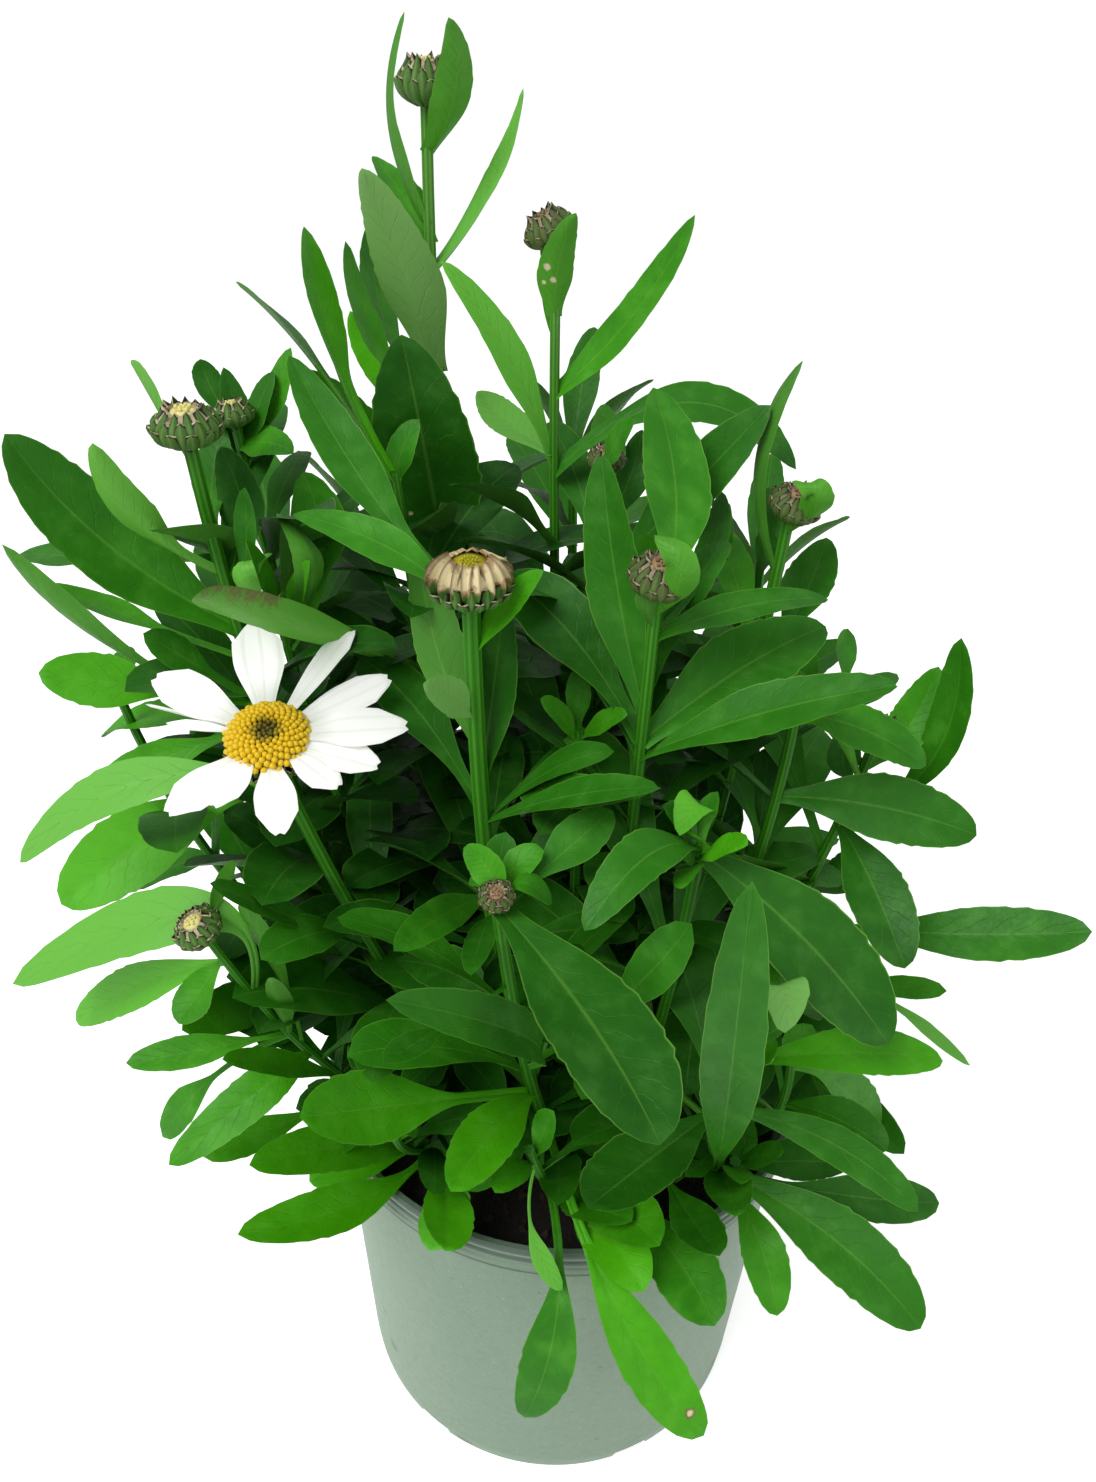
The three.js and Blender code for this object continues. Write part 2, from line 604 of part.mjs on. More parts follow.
function budMiddle(radius, height, well) {
  const r = well * radius - GAP;
  const z = 0.8 * height + GAP;
  const rise = 0.3 * height;
  const outline = [[0, z], [r, z], [r * 0.75, z + rise * 0.8], [0, z + rise]];
  return turned(outline, radius > 5 ? 10 : 6, (q, h, k, row) => [q, h + (row > 0 && k % 2 ? 0.25 : 0)]);
}

// A ring of pale tips that curl over the top of the opening bud.
function curledRing(radius, height) {
  const rows = [
    [0.8, 0.42], [1.0, 0.5], [1.04, 0.72], [0.9, 0.95], [0.66, 1.04], [0.46, 0.94],
    [0.48, 0.76], [0.7, 0.56],
  ];
  const outline = rows.map(([r, z]) => [r * radius, z * height]);
  const sides = 16;
  const rings = outline.map(([r, z], row) => {
    const ring = [];
    for (let k = 0; k < sides; k += 1) {
      const angle = (2 * Math.PI * k) / sides;
      const wave = k % 2 ? 1 : -1;
      const grow = row > 1 && row < 6 ? 0.35 * wave : 0;
      ring.push(V((r + grow) * Math.cos(angle), (r + grow) * Math.sin(angle), z + grow * 0.5));
    }
    return ring;
  });
  const points = rings.flat();
  const faces = [];
  for (let row = 0; row < rings.length; row += 1) {
    const next = (row + 1) % rings.length;
    for (let k = 0; k < sides; k += 1) {
      const j = (k + 1) % sides;
      faces.push([row * sides + k, row * sides + j, next * sides + j]);
      faces.push([row * sides + k, next * sides + j, next * sides + k]);
    }
  }
  return solid(points, faces);
}

const rayWidth = (v) => 0.3 + 0.7 * smooth(Math.min(v / 0.6, 1)) - 0.22 * Math.max(0, (v - 0.8) / 0.2) ** 2;

function flowerParts() {
  const { axis, cupDepth, discRadius, rays } = FLOWER;
  const up = V(...axis).normalize();
  const centre = headPlace('bloom', up).addScaledVector(up, cupDepth);
  const ringOuter = discRadius - 0.4;
  const rayRing = turned(
    [[0, 0], [ringOuter, 0], [ringOuter, 1.1], [0, 1.1]], 12);
  const blades = rays.map(([angle, reach, width, lift, turn], i) => {
    const a = (angle * Math.PI) / 180;
    const out = V(Math.cos(a), Math.sin(a), 0);
    const foot = out.clone().multiplyScalar(ringOuter - 3).setZ(0.55);
    const bend = out.clone().multiplyScalar(reach * 0.6).setZ(0.9 + lift * 0.6 + (i % 2 ? 1.5 : 0));
    const tip = out.clone().multiplyScalar(reach).setZ(lift + (i % 2 ? 1.2 : 0));
    const places = [[0, 1], [0.35, 1], [0.75, 1], [1, 1]];
    return blade(foot, bend, tip, width, turn, 0, places, rayWidth, 0);
  });
  const disc = turned(
    [[0, 2], [discRadius * 0.7, 2], [discRadius, 3.5], [discRadius * 0.97, 4.8],
      [discRadius * 0.7, 6.3], [discRadius * 0.36, 6.1], [0, 5.4]],
    18, (r, z, k, row) => {
      const wave = (k + row) % 2 ? 0.32 : -0.18;
      return row > 1 ? [r + wave, z + wave] : [r, z];
    });
  const cup = turned(
    [[0, -cupDepth], [2.6, -cupDepth], [7.2, -3.8], [8.6, -0.9], [0, -0.9]], 12,
    (r, z, k, row) => (row === 2 ? [r + (k % 2 ? 0.5 : 0), z] : [r, z]));
  return {
    bloom_rays: stand(join([rayRing, ...blades]), centre, up),
    bloom_disc: stand(disc, centre, up),
    bloom_cup: stand(cup, centre, up),
  };
}

function potSolid() {
  const top = POT_HEIGHT;
  const band = top - RIM_BAND;
  const shell = turned([
    [0, 0], [BASE_RADIUS - 1.2, 0], [BASE_RADIUS, 1.2], [WALL_TOP_RADIUS, band],
    [RIM_RADIUS - 0.4, band], [RIM_RADIUS - 0.1, band + 2.6], [RIM_RADIUS - 0.7, band + 3.3],
    [RIM_RADIUS - 0.1, band + 4], [RIM_RADIUS - 0.7, band + 6],
    [RIM_RADIUS, band + 6.7], [RIM_RADIUS - 0.2, top],
    [RIM_RADIUS - WALL - 0.4, top], [WALL_TOP_RADIUS - WALL, band - 1],
    [BASE_RADIUS - WALL, WALL], [0, WALL],
  ], POT_SIDES);
  const cuts = [];
  for (let k = 0; k < DRAIN_NOTCHES; k += 1) {
    const angle = (2 * Math.PI * (k + 0.4)) / DRAIN_NOTCHES - Math.PI / 2;
    const out = V(Math.cos(angle), Math.sin(angle), 0);
    const side = V(-out.y, out.x, 0);
    const corner = (r, s, z) => out.clone().multiplyScalar(r).addScaledVector(side, s).setZ(z);
    const w = DRAIN_WIDTH / 2;
    const inner = BASE_RADIUS - 4.5;
    const outer = BASE_RADIUS + 3;
    const face = (r) => [corner(r, -w, -1), corner(r, w, -1), corner(r, w - 2, DRAIN_HEIGHT),
      corner(r, 2 - w, DRAIN_HEIGHT)];
    cuts.push(skin([face(inner), face(outer)]));
  }
  return shell.subtract(join(cuts));
}

function seeded(seed) {
  let state = seed;
  return () => {
    state = (state * 1664525 + 1013904223) % 4294967296;
    return state / 4294967296;
  };
}

function soilSolid() {
  const draw = seeded(7);
  const wallAt = (z) => BASE_RADIUS - WALL - GAP
    + ((WALL_TOP_RADIUS - BASE_RADIUS) * (z - WALL)) / (POT_HEIGHT - RIM_BAND - 1 - WALL);
  const low = WALL + DRAIN_HEIGHT;
  const body = turned([
    [0, low], [wallAt(low) - 1, low], [wallAt(SOIL_TOP - 2) - 1, SOIL_TOP - 2],
    [56, SOIL_TOP], [0, SOIL_TOP + 0.5],
  ], 18, (r, z, k, row) => (row > 1 ? [r, z + 1.6 * (draw() - 0.5)] : [r, z]));
  const holes = Object.keys(STEMS).map((name) => {
    const { a, radius } = stemCurve(name);
    const hole = [STEM_FOOT - GAP, SOIL_TOP + 4].map((z) => {
      const ring = [];
      for (let k = 0; k < 4; k += 1) {
        const angle = (Math.PI * k) / 2;
        const r = (radius * 1.12 + GAP) / Math.cos(Math.PI / 4) + (z > SOIL_TOP ? 1.4 : 0);
        ring.push(V(a.x + r * Math.cos(angle), a.y + r * Math.sin(angle), z));
      }
      return ring;
    });
    return skin(hole);
  });
  return body.subtract(join(holes));
}

const MATERIALS = {
  leaf: [0x3f8f2c, 0.5],
  bud: [0x7c8a4e, 0.6],
  pale: [0xe4dca0, 0.7],
  yellow: [0xd9a520, 0.7],
  white: [0xf4f4f0, 0.6],
  pot: [0xa9bfae, 0.55],
  soil: [0x2b211b, 0.95],
};

const group = new THREE.Group();

function add(name, body, kind) {
  const mesh = body.getMesh();
  const geometry = new THREE.BufferGeometry();
  geometry.setAttribute('position', new THREE.BufferAttribute(new Float32Array(mesh.vertProperties), 3));
  geometry.setIndex(new THREE.BufferAttribute(new Uint32Array(mesh.triVerts), 1));
  geometry.computeVertexNormals();
  const [color, roughness] = MATERIALS[kind];
  const part = new THREE.Mesh(geometry, new THREE.MeshStandardMaterial({ color, roughness }));
  part.name = name;
  group.add(part);
}

// Leafy stems that touch one another are joined, so that no two parts share any space.
function leafyStems() {
  const clumps = Object.keys(STEMS).map((name) => {
    const outer = (LEAVES[name] ?? []).map((row) => leafSolid(name, row));
    const inner = (INNER[name] ?? []).map((row) => leafSolid(name, row, true));
    const body = join([stemSolid(name), ...outer, ...inner]);
    return { name, body };
  });
  for (let i = 0; i < clumps.length; i += 1) {
    for (let j = clumps.length - 1; j > i; j -= 1) {
      if (clumps[i].body.intersect(clumps[j].body).volume() > 0) {
        clumps[i].body = clumps[i].body.add(clumps[j].body);
        clumps.splice(j, 1);
        j = clumps.length;
      }
    }
  }
  return clumps;
}

add('pot', potSolid(), 'pot');
add('soil', soilSolid(), 'soil');
for (const { name, body } of leafyStems()) {
  add(`stem_${name}`, body, 'leaf');
}
for (const [stem, radius, height, ax, ay, az, well] of BUDS) {
  const axis = V(ax, ay, az).normalize();
  const at = headPlace(stem, axis);
  const sides = radius > 6 ? 12 : 8;
  if (stem === 'cream') {
    const rows = [[0, 0], [2.4, 0], [radius * 0.86, height * 0.16], [radius * 0.97, height * 0.36],
      [radius * 0.7, height * 0.42], [radius * 0.4, height * 0.5], [0, height * 0.5]];
    const cup = turned(rows, 14, (r, z, k, row) => [r, row === 2 ? z + (k % 2 ? 0.5 : -0.5) : z]);
    add('bud_cream_cup', stand(cup, at, axis), 'bud');
    add('bud_cream_ring', stand(curledRing(radius, height), at, axis), 'pale');
    const heart = turned([[0, height * 0.5 + GAP], [2.6, height * 0.5 + GAP], [2.9, height * 0.78],
      [1.6, height * 0.86], [0, height * 0.84]], 10, (r, z, k, row) => [r, row && k % 2 ? z + 0.4 : z]);
    add('bud_cream_heart', stand(heart, at, axis), 'yellow');
  } else {
    add(`bud_${stem}_cup`, stand(budCup(radius, height, sides, well), at, axis), 'bud');
    add(`bud_${stem}_middle`, stand(budMiddle(radius, height, well), at, axis), 'pale');
  }
}
const flower = flowerParts();
add('bloom_cup', flower.bloom_cup, 'bud');
add('bloom_rays', flower.bloom_rays, 'white');
add('bloom_disc', flower.bloom_disc, 'yellow');

export default group;
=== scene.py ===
"""A potted dwarf daisy: leafy stems with toothed leaves, scaled buds, one white flower, a plastic pot."""

import json
import math
from functools import cache

import bmesh
import bpy
import numpy as np
from bpy.props import FloatProperty, FloatVectorProperty, IntProperty, PointerProperty
from mathutils import Matrix, Vector

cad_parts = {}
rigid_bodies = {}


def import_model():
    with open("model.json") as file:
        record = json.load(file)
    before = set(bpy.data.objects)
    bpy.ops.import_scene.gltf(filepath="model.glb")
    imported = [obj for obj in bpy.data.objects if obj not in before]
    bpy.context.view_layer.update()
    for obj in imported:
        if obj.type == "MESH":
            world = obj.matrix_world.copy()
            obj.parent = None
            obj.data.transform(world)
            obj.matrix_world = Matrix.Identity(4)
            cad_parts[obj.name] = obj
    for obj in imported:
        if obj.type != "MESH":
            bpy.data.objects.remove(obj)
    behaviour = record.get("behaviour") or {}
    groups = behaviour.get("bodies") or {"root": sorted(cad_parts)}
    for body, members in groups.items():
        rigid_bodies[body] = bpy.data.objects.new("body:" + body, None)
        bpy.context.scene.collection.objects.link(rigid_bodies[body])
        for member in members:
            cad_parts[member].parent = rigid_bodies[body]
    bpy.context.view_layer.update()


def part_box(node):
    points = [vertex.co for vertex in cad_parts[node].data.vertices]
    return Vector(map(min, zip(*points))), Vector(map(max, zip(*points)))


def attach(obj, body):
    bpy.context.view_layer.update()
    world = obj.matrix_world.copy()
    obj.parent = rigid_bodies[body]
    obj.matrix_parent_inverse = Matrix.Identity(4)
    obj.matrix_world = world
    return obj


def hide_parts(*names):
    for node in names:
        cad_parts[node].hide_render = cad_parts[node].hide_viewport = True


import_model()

bl_info = {
    "name": "Potted dwarf daisy",
    "version": (1, 0, 0),
    "blender": (4, 5, 0),
    "location": "View3D > Sidebar > Daisy",
    "description": "Builds the looks of a potted dwarf daisy round its CAD frame",
    "category": "Object",
}

# Places and sizes are in millimetres, times MM where Blender takes them. STEM_FOOT is where a stem
# ends in the soil, and STEM_RISE where it starts to bend. A listed leaf as wide as BROAD gets the finer
# form. LOW_LEAF_PEAK is where along its blade a low leaf is widest.
MM = 0.001
POT_LOW, POT_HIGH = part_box("pot")
SOIL_LOW, SOIL_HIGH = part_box("soil")
STEM_FOOT = 101
STEM_RISE = 107.5
STEM_STEPS = 400
SOIL_LEVEL = 105
GOLDEN_ANGLE = math.pi * (3 - math.sqrt(5))
BROAD = 11
LOW_LEAF_PEAK = 0.58
USUAL_TINT = 0.45
SCALE_SKIN = 0.22
UP = np.array((0.0, 0.0, 1.0))

# Most rows of STEMS, LEAVES, INNER, CURLS and RAYS were worked out by other scripts.
# A stem: foot x, y, then the point that bends it x, y, z, then its top x, y, z, then its radius.
STEMS = {
    "tall": (-8, 16, -38, 22, 190, -38, 20, 362, 1.3),
    "back": (6, 14, -8, 18, 200, -10, 15, 337, 1.2),
    "left": (-20, 2, -72, -6, 150, -85, -15, 299, 1.6),
    "cream": (-6, -14, -22, -38, 170, -24, -45, 279, 1.9),
    "folded": (10, -10, 12, -30, 180, 13, -35, 278, 1.4),
    "hidden": (2, 6, 2, 8, 200, 3, 5, 291, 1.1),
    "right": (24, 4, 38, 0, 180, 44, -5, 285, 1.5),
    "bloom": (-22, -12, -44, -36, 160, -67, -42, 240, 1.5),
    "low_left": (-30, -20, -58, -44, 130, -82, -56, 202, 1.0),
    "curl": (-16, -6, -58, -4, 165, -72, -6, 256, 1.2),
    "edge_left": (-34, 8, -100, 0, 150, -115, -5, 239, 1.2),
    "crown_front": (0, -30, -10, -58, 150, -17, -72, 227, 1.4),
    "coil": (18, -18, 22, -48, 160, 24, -58, 232, 1.3),
    "fold_right": (30, -24, 34, -60, 140, 36, -76, 196, 1.2),
    "nest": (4, -4, 0, -20, 170, -1, -25, 240, 1.3),
    "rosette_right": (36, -30, 40, -50, 120, 41, -62, 142, 1.4),
    "brown_right": (34, 2, 60, -8, 160, 70, -15, 234, 1.3),
    "rear_left": (-30, 34, -54, 54, 165, -60, 56, 258, 1.4),
    "rear_mid": (-2, 40, 0, 60, 175, -4, 62, 282, 1.4),
    "rear_right": (34, 30, 54, 50, 165, 50, 54, 250, 1.4),
    "mid_right": (20, -2, 48, -14, 160, 49, -20, 247, 1.3),
    "mid_left": (-16, 6, -30, 0, 170, -44, -5, 292, 1.2),
    "low_front": (0, -40, -4, -56, 118, -9, -74, 158, 1.2),
    "low_side": (-30, -28, -44, -48, 118, -41, -66, 154, 1.1),
    "low_right": (44, -24, 60, -40, 122, 53, -52, 166, 1.1),
    "back_right": (22, 14, 52, 26, 160, 45, 26, 263, 1.3),
    "back_left": (-26, 20, -66, 16, 160, -81, 6, 298, 1.2),
}

# Leaves by stem. A row: height on the stem, bending point x, y, z, tip x, y, z, width,
# turn about its own length in degrees, share of its length that is stalk.
LEAVES = {
    "tall": [
        (252, -38, 10, 290, -42, 0, 320, 24, 152, 0),
        (274, -53, 15, 293, -66, 10, 310, 11, 74, 0.3),
        (298, -56, 19, 313, -56, 18, 336, 10, 30, 0.3),
        (302, -56, 30, 316, -53, 40, 340, 12, -24, 0.3),
        (308, -43, 11, 335, -49, 2, 351, 15, -16, 0),
        (330, -21, 22, 347, -18, 24, 366, 9, -14, 0),
        (335, -45, 28, 346, -52, 36, 352, 10, 0, 0),
        (339, -52, 25, 359, -43, 29, 379, 9, -76, 0),
        (353, -28, 14, 366, -32, 8, 377, 9, -6, 0),
    ],
    "back": [
        (287, 22, 12, 321, 47, 8, 292, 12, -40, 0.2),
        (288, -18, 11, 317, -34, 6, 334, 9, 64, 0.1),
        (305, 11, 14, 323, 19, 12, 344, 10, -46, 0),
        (319, -15, 18, 332, -7, 20, 343, 6, 0, 0.5),
        (322, -11, 11, 335, -6, 6, 344, 8, 10, 0),
    ],
    "left": [
        (214, -103, -20, 209, -127, -30, 188, 19, 54, 0.2),
        (231, -95, -17, 226, -114, -24, 221, 9, 48, 0.3),
        (232, -115, -10, 245, -132, -10, 274, 8, -68, 0.3),
        (235, -90, -13, 246, -101, -16, 256, 9, 36, 0.4),
        (236, -102, -16, 242, -124, -22, 248, 13, 52, 0.4),
        (248, -104, -4, 252, -131, 4, 259, 9, 4, 0.4),
        (256, -110, -17, 275, -120, -22, 302, 20, 46, 0),
        (258, -74, -16, 276, -73, -20, 292, 7, -100, 0.3),
        (263, -73, -8, 280, -82, -4, 296, 11, 12, 0.3),
        (270, -100, -22, 282, -99, -30, 303, 9, -44, 0.2),
        (273, -115, 3, 266, -143, 18, 261, 9, 22, 0.5),
        (295, -94, -6, 306, -100, -1, 313, 7, -76, 0.4),
    ],
    "cream": [
        (194, -20, -61, 213, -21, -86, 220, 7, -14, 0),
        (200, -27, -62, 218, -35, -88, 227, 8, 36, 0),
        (223, -4, -55, 243, 13, -70, 253, 8, -28, 0),
        (233, -20, -36, 251, -18, -30, 275, 12, 10, 0),
        (245, -33, -38, 264, -35, -34, 284, 13, -100, 0),
        (252, -28, -50, 261, -32, -58, 267, 8, 86, 0),
        (267, -17, -45, 279, -10, -46, 286, 7, -44, 0),
        (276, -37, -37, 288, -61, -30, 290, 9, 28, 0.2),
        (276, -47, -25, 290, -65, -5, 316, 11, 14, 0.3),
    ],
    "folded": [
        (216, 26, -44, 220, 35, -60, 226, 7, -30, 0.2),
        (237, 37, -40, 256, 61, -48, 265, 13, -30, 0),
        (237, 6, -21, 253, -2, -11, 265, 10, 18, 0),
        (241, 34, -21, 257, 55, -10, 261, 18, -28, 0),
        (249, 4, -28, 277, 1, -22, 302, 14, 80, 0),
        (265, 14, -28, 276, 10, -22, 286, 8, -18, 0.4),
        (267, 33, -25, 274, 53, -16, 270, 9, -20, 0),
        (268, 29, -14, 272, 30, 6, 287, 8, 24, 0.3),
        (273, 16, -26, 277, 18, -23, 279, 8, -98, 0),
        (275, 22, -18, 288, 12, 0, 311, 16, -18, 0.2),
    ],
    "hidden": [
        (262, 17, 1, 282, 37, -4, 309, 14, -60, 0.2),
        (278, 0, -2, 295, 8, -8, 306, 7, -92, 0.5),
        (287, 4, 20, 294, 3, 32, 300, 9, -14, 0),
    ],
    "right": [
        (245, 54, 5, 258, 58, 14, 274, 14, 6, 0.3),
        (268, 48, 4, 278, 40, 10, 287, 7, -6, 0.4),
        (271, 29, -3, 297, 43, -2, 318, 8, -100, 0),
        (281, 45, 3, 284, 46, 5, 287, 7, -100, 0),
    ],
    "bloom": [
        (180, -65, -48, 201, -77, -62, 221, 7, 38, 0.2),
        (232, -97, -45, 245, -124, -48, 214, 11, 42, 0.1),
    ],
    "low_left": [
        (136, -73, -50, 135, -89, -62, 137, 9, 26, 0.3),
        (144, -67, -58, 166, -76, -73, 182, 7, 44, 0),
        (157, -66, -59, 166, -93, -72, 146, 11, 28, 0),
        (160, -67, -49, 189, -75, -52, 208, 6, -52, 0.3),
        (165, -68, -54, 179, -67, -60, 194, 6, 12, 0),
        (165, -89, -49, 156, -104, -50, 129, 9, 52, 0.5),
        (166, -82, -55, 167, -104, -60, 166, 8, 30, 0.2),
        (181, -65, -51, 227, -132, -50, 180, 14, 40, 0.2),
        (193, -102, -46, 181, -126, -38, 157, 11, 60, 0),
        (199, -83, -50, 207, -77, -47, 216, 6, -84, 0.3),
    ],
    "curl": [
        (248, -65, -7, 266, -68, -9, 282, 10, -28, 0.2),
        (249, -56, -1, 269, -66, 3, 289, 14, -18, 0.4),
        (253, -67, -20, 266, -64, -35, 274, 6, 100, 0),
        (253, -71, -18, 270, -71, -30, 284, 6, 100, 0),
        (253, -65, -16, 267, -59, -27, 279, 6, -100, 0),
    ],
    "edge_left": [
        (140, -81, -25, 156, -92, -54, 171, 13, 44, 0.2),
        (234, -114, 0, 240, -113, 4, 243, 7, 6, 0),
    ],
    "crown_front": [
        (113, 27, -61, 118, 36, -87, 115, 16, -18, 0.4),
        (132, 8, -92, 124, 35, -98, 89, 14, -12, 0.3),
        (152, -17, -72, 165, -25, -92, 166, 13, 16, 0),
        (153, -37, -70, 167, -56, -88, 182, 16, 32, 0.3),
        (166, 2, -81, 200, -34, -104, 230, 11, 62, 0),
        (167, 12, -70, 199, 20, -82, 231, 10, -80, 0.4),
        (200, -27, -85, 205, -35, -104, 215, 6, 12, 0.5),
        (211, -21, -65, 228, -8, -63, 233, 7, -16, 0.5),
        (212, -19, -63, 222, -16, -57, 233, 7, 0, 0.5),
        (217, -16, -69, 237, -6, -70, 225, 7, -6, 0.4),
        (223, -17, -67, 232, -23, -67, 227, 6, 24, 0),
        (224, -17, -68, 233, -24, -66, 235, 7, 56, 0),
        (224, -6, -61, 229, 6, -52, 236, 10, -22, 0.3),
        (225, 4, -95, 218, 13, -118, 213, 22, 2, 0),
    ],
    "coil": [
        (118, 27, -58, 123, 33, -92, 148, 11, -12, 0.5),
        (215, 29, -55, 232, 16, -54, 239, 7, 28, 0.4),
        (216, 24, -52, 228, 28, -48, 239, 6, 28, 0.4),
        (226, 21, -68, 234, 18, -78, 236, 6, -28, 0),
        (227, 27, -64, 237, 31, -70, 241, 7, -36, 0),
        (230, 13, -71, 247, 0, -84, 230, 11, 10, 0),
        (230, 47, -69, 220, 63, -80, 200, 20, -30, 0),
    ],
    "fold_right": [
        (159, 16, -83, 166, 3, -104, 178, 17, 0, 0),
        (162, 59, -75, 171, 76, -86, 157, 9, -30, 0),
        (177, 42, -70, 190, 32, -70, 201, 8, 62, 0.4),
        (179, 39, -66, 190, 44, -63, 200, 9, -20, 0.3),
        (186, 57, -72, 192, 79, -72, 188, 11, -18, 0),
        (188, 37, -82, 200, 37, -90, 204, 8, -34, 0),
    ],
    "nest": [
        (229, -1, -21, 241, -2, -18, 252, 6, 0, 0.4),
        (236, -5, -27, 245, -10, -30, 250, 6, 54, 0),
        (237, 4, -29, 245, 9, -34, 249, 6, -48, 0),
        (238, -27, -40, 226, 15, -57, 245, 10, -38, 0.2),
    ],
    "rosette_right": [
        (122, 46, -57, 137, 51, -66, 151, 7, -44, 0.3),
        (124, 38, -69, 146, 36, -88, 156, 11, -12, 0),
        (124, 30, -95, 176, 27, -95, 251, 12, 180, 0.2),
        (124, 48, -70, 132, 52, -82, 112, 11, -10, 0.2),
        (124, 49, -50, 131, 45, -50, 147, 7, -52, 0),
        (124, 66, -58, 124, 100, -50, 114, 12, -32, 0.3),
        (126, 69, -68, 127, 86, -84, 112, 17, -30, 0),
        (135, 40, -66, 145, 40, -75, 150, 7, 4, 0),
        (137, 36, -62, 149, 32, -66, 158, 7, 74, 0),
    ],
    "brown_right": [
        (153, 78, -13, 156, 101, -20, 161, 7, -28, 0.5),
        (166, 55, -43, 181, 49, -78, 204, 8, -18, 0),
        (173, 97, -21, 179, 125, -34, 194, 14, -44, 0.2),
        (173, 84, -18, 158, 109, -28, 142, 7, 8, 0.5),
        (208, 72, -28, 204, 78, -44, 189, 15, -24, 0),
        (208, 95, -13, 221, 85, -14, 261, 11, -38, 0.2),
        (222, 60, -21, 241, 44, -8, 251, 9, -60, 0.1),
        (232, 60, -5, 245, 64, 3, 255, 8, -22, 0.5),
    ],
    "rear_left": [
        (183, -72, 63, 195, -93, 75, 196, 13, 6, 0),
        (210, -38, 64, 225, -21, 74, 228, 13, -8, 0),
        (228, -67, 72, 246, -77, 89, 251, 13, 4, 0),
        (252, -50, 49, 271, -40, 42, 279, 10, 6, 0),
        (253, -69, 53, 273, -78, 49, 281, 10, -8, 0),
        (254, -57, 69, 275, -55, 81, 284, 10, 4, 0),
    ],
    "rear_mid": [
        (207, -23, 70, 220, -44, 82, 220, 13, 6, 0),
        (234, 15, 70, 249, 32, 80, 252, 13, -8, 0),
        (252, -13, 78, 270, -23, 96, 275, 13, 4, 0),
        (276, 6, 55, 296, 16, 48, 303, 10, 6, 0),
        (277, -13, 59, 297, -22, 55, 305, 10, -8, 0),
        (278, -2, 75, 300, 1, 87, 309, 10, 4, 0),
    ],
    "rear_right": [
        (175, 27, 59, 187, 7, 71, 188, 13, 6, 0),
        (202, 68, 60, 217, 85, 70, 221, 13, -8, 0),
        (220, 41, 69, 237, 31, 87, 243, 13, 4, 0),
        (244, 60, 47, 263, 70, 40, 271, 10, 6, 0),
        (245, 41, 50, 265, 32, 47, 273, 10, -8, 0),
        (246, 52, 66, 268, 55, 79, 277, 10, 4, 0),
    ],
    "mid_right": [
        (219, 71, -24, 224, 93, -30, 218, 16, -52, 0),
        (235, 51, -7, 241, 56, 3, 249, 8, 12, 0.3),
        (236, 64, -2, 236, 82, 14, 238, 8, -14, 0.4),
        (240, 52, -25, 249, 56, -30, 252, 8, -60, 0),
        (243, 64, -23, 244, 79, -26, 234, 12, -36, 0),
    ],
    "mid_left": [
        (242, -73, -32, 272, -72, -62, 285, 9, -58, 0),
        (279, -47, -1, 291, -39, 2, 302, 8, 0, 0.4),
        (289, -60, 4, 312, -64, 14, 339, 14, -28, 0.4),
        (289, -63, 10, 317, -83, 25, 326, 8, -34, 0.4),
    ],
    "low_front": [
        (112, 12, -61, 127, 22, -80, 134, 16, -20, 0),
        (124, 4, -92, 124, -8, -92, 83, 13, 0, 0.3),
        (146, -12, -75, 130, 0, -82, 119, 5, 0, 0.4),
        (148, -12, -79, 159, -16, -88, 161, 7, 16, 0),
        (150, -6, -73, 163, -4, -76, 173, 7, -96, 0),
    ],
    "low_side": [
        (112, -25, -58, 120, -33, -72, 118, 13, -12, 0.2),
        (112, -52, -57, 140, -71, -80, 157, 12, 42, 0),
        (113, -46, -60, 116, -75, -83, 137, 12, 28, 0.2),
        (141, -38, -62, 154, -35, -64, 164, 8, -82, 0),
    ],
    "low_right": [
        (144, 66, -55, 153, 76, -64, 150, 11, -32, 0),
        (151, 53, -47, 164, 58, -47, 173, 8, -62, 0.3),
        (164, 71, -43, 154, 85, -36, 120, 14, -62, 0.2),
    ],
    "back_right": [
        (241, 34, 20, 262, 33, 14, 282, 7, 62, 0.3),
        (252, 44, 24, 265, 48, 22, 275, 8, -92, 0.3),
    ],
    "back_left": [
        (288, -81, 11, 296, -85, 15, 309, 8, -6, 0),
        (289, -73, 11, 301, -69, 14, 314, 7, -30, 0.3),
        (292, -76, 9, 302, -73, 12, 309, 8, -16, 0),
        (293, -74, 3, 297, -67, 0, 294, 9, -34, 0),
    ],
}

# Short leaves that fill the inside and the back, in rows of the same kind.
INNER = {
    "back": [(116, 9, 32, 141, 13, 49, 148, 16, 13, 0.1), (167, 11, 4, 177, 21, -7, 178, 10, -1, 0.1)],
    "left": [(166, -49, 6, 188, -40, 16, 195, 14, -5, 0.1)],
    "hidden": [(116, 10, -3, 123, 18, -14, 121, 10, -2, 0.1), (207, 0, 24, 222, -2, 40, 225, 11, -2, 0.1)],
    "right": [(188, 41, 10, 208, 47, 22, 214, 13, -12, 0.1)],
    "curl": [(211, -62, 11, 225, -63, 27, 227, 12, -5, 0.1)],
    "edge_left": [(130, -71, 19, 154, -80, 33, 162, 16, -11, 0.1)],
    "brown_right": [(116, 56, 17, 131, 74, 34, 130, 16, 11, 0.1)],
    "rear_left": [(116, -37, 30, 124, -41, 21, 125, 8, 4, 0.1)],
    "rear_mid": [(116, -25, 55, 134, -48, 67, 134, 16, -13, 0.1)],
    "rear_right": [(129, 39, 61, 147, 38, 85, 148, 16, -5, 0.1)],
    "mid_left": [(144, -23, -10, 154, -23, -24, 154, 9, 0, 0.1)],
    "back_right": [(166, 61, 25, 177, 80, 28, 176, 13, -3, 0.1)],
}

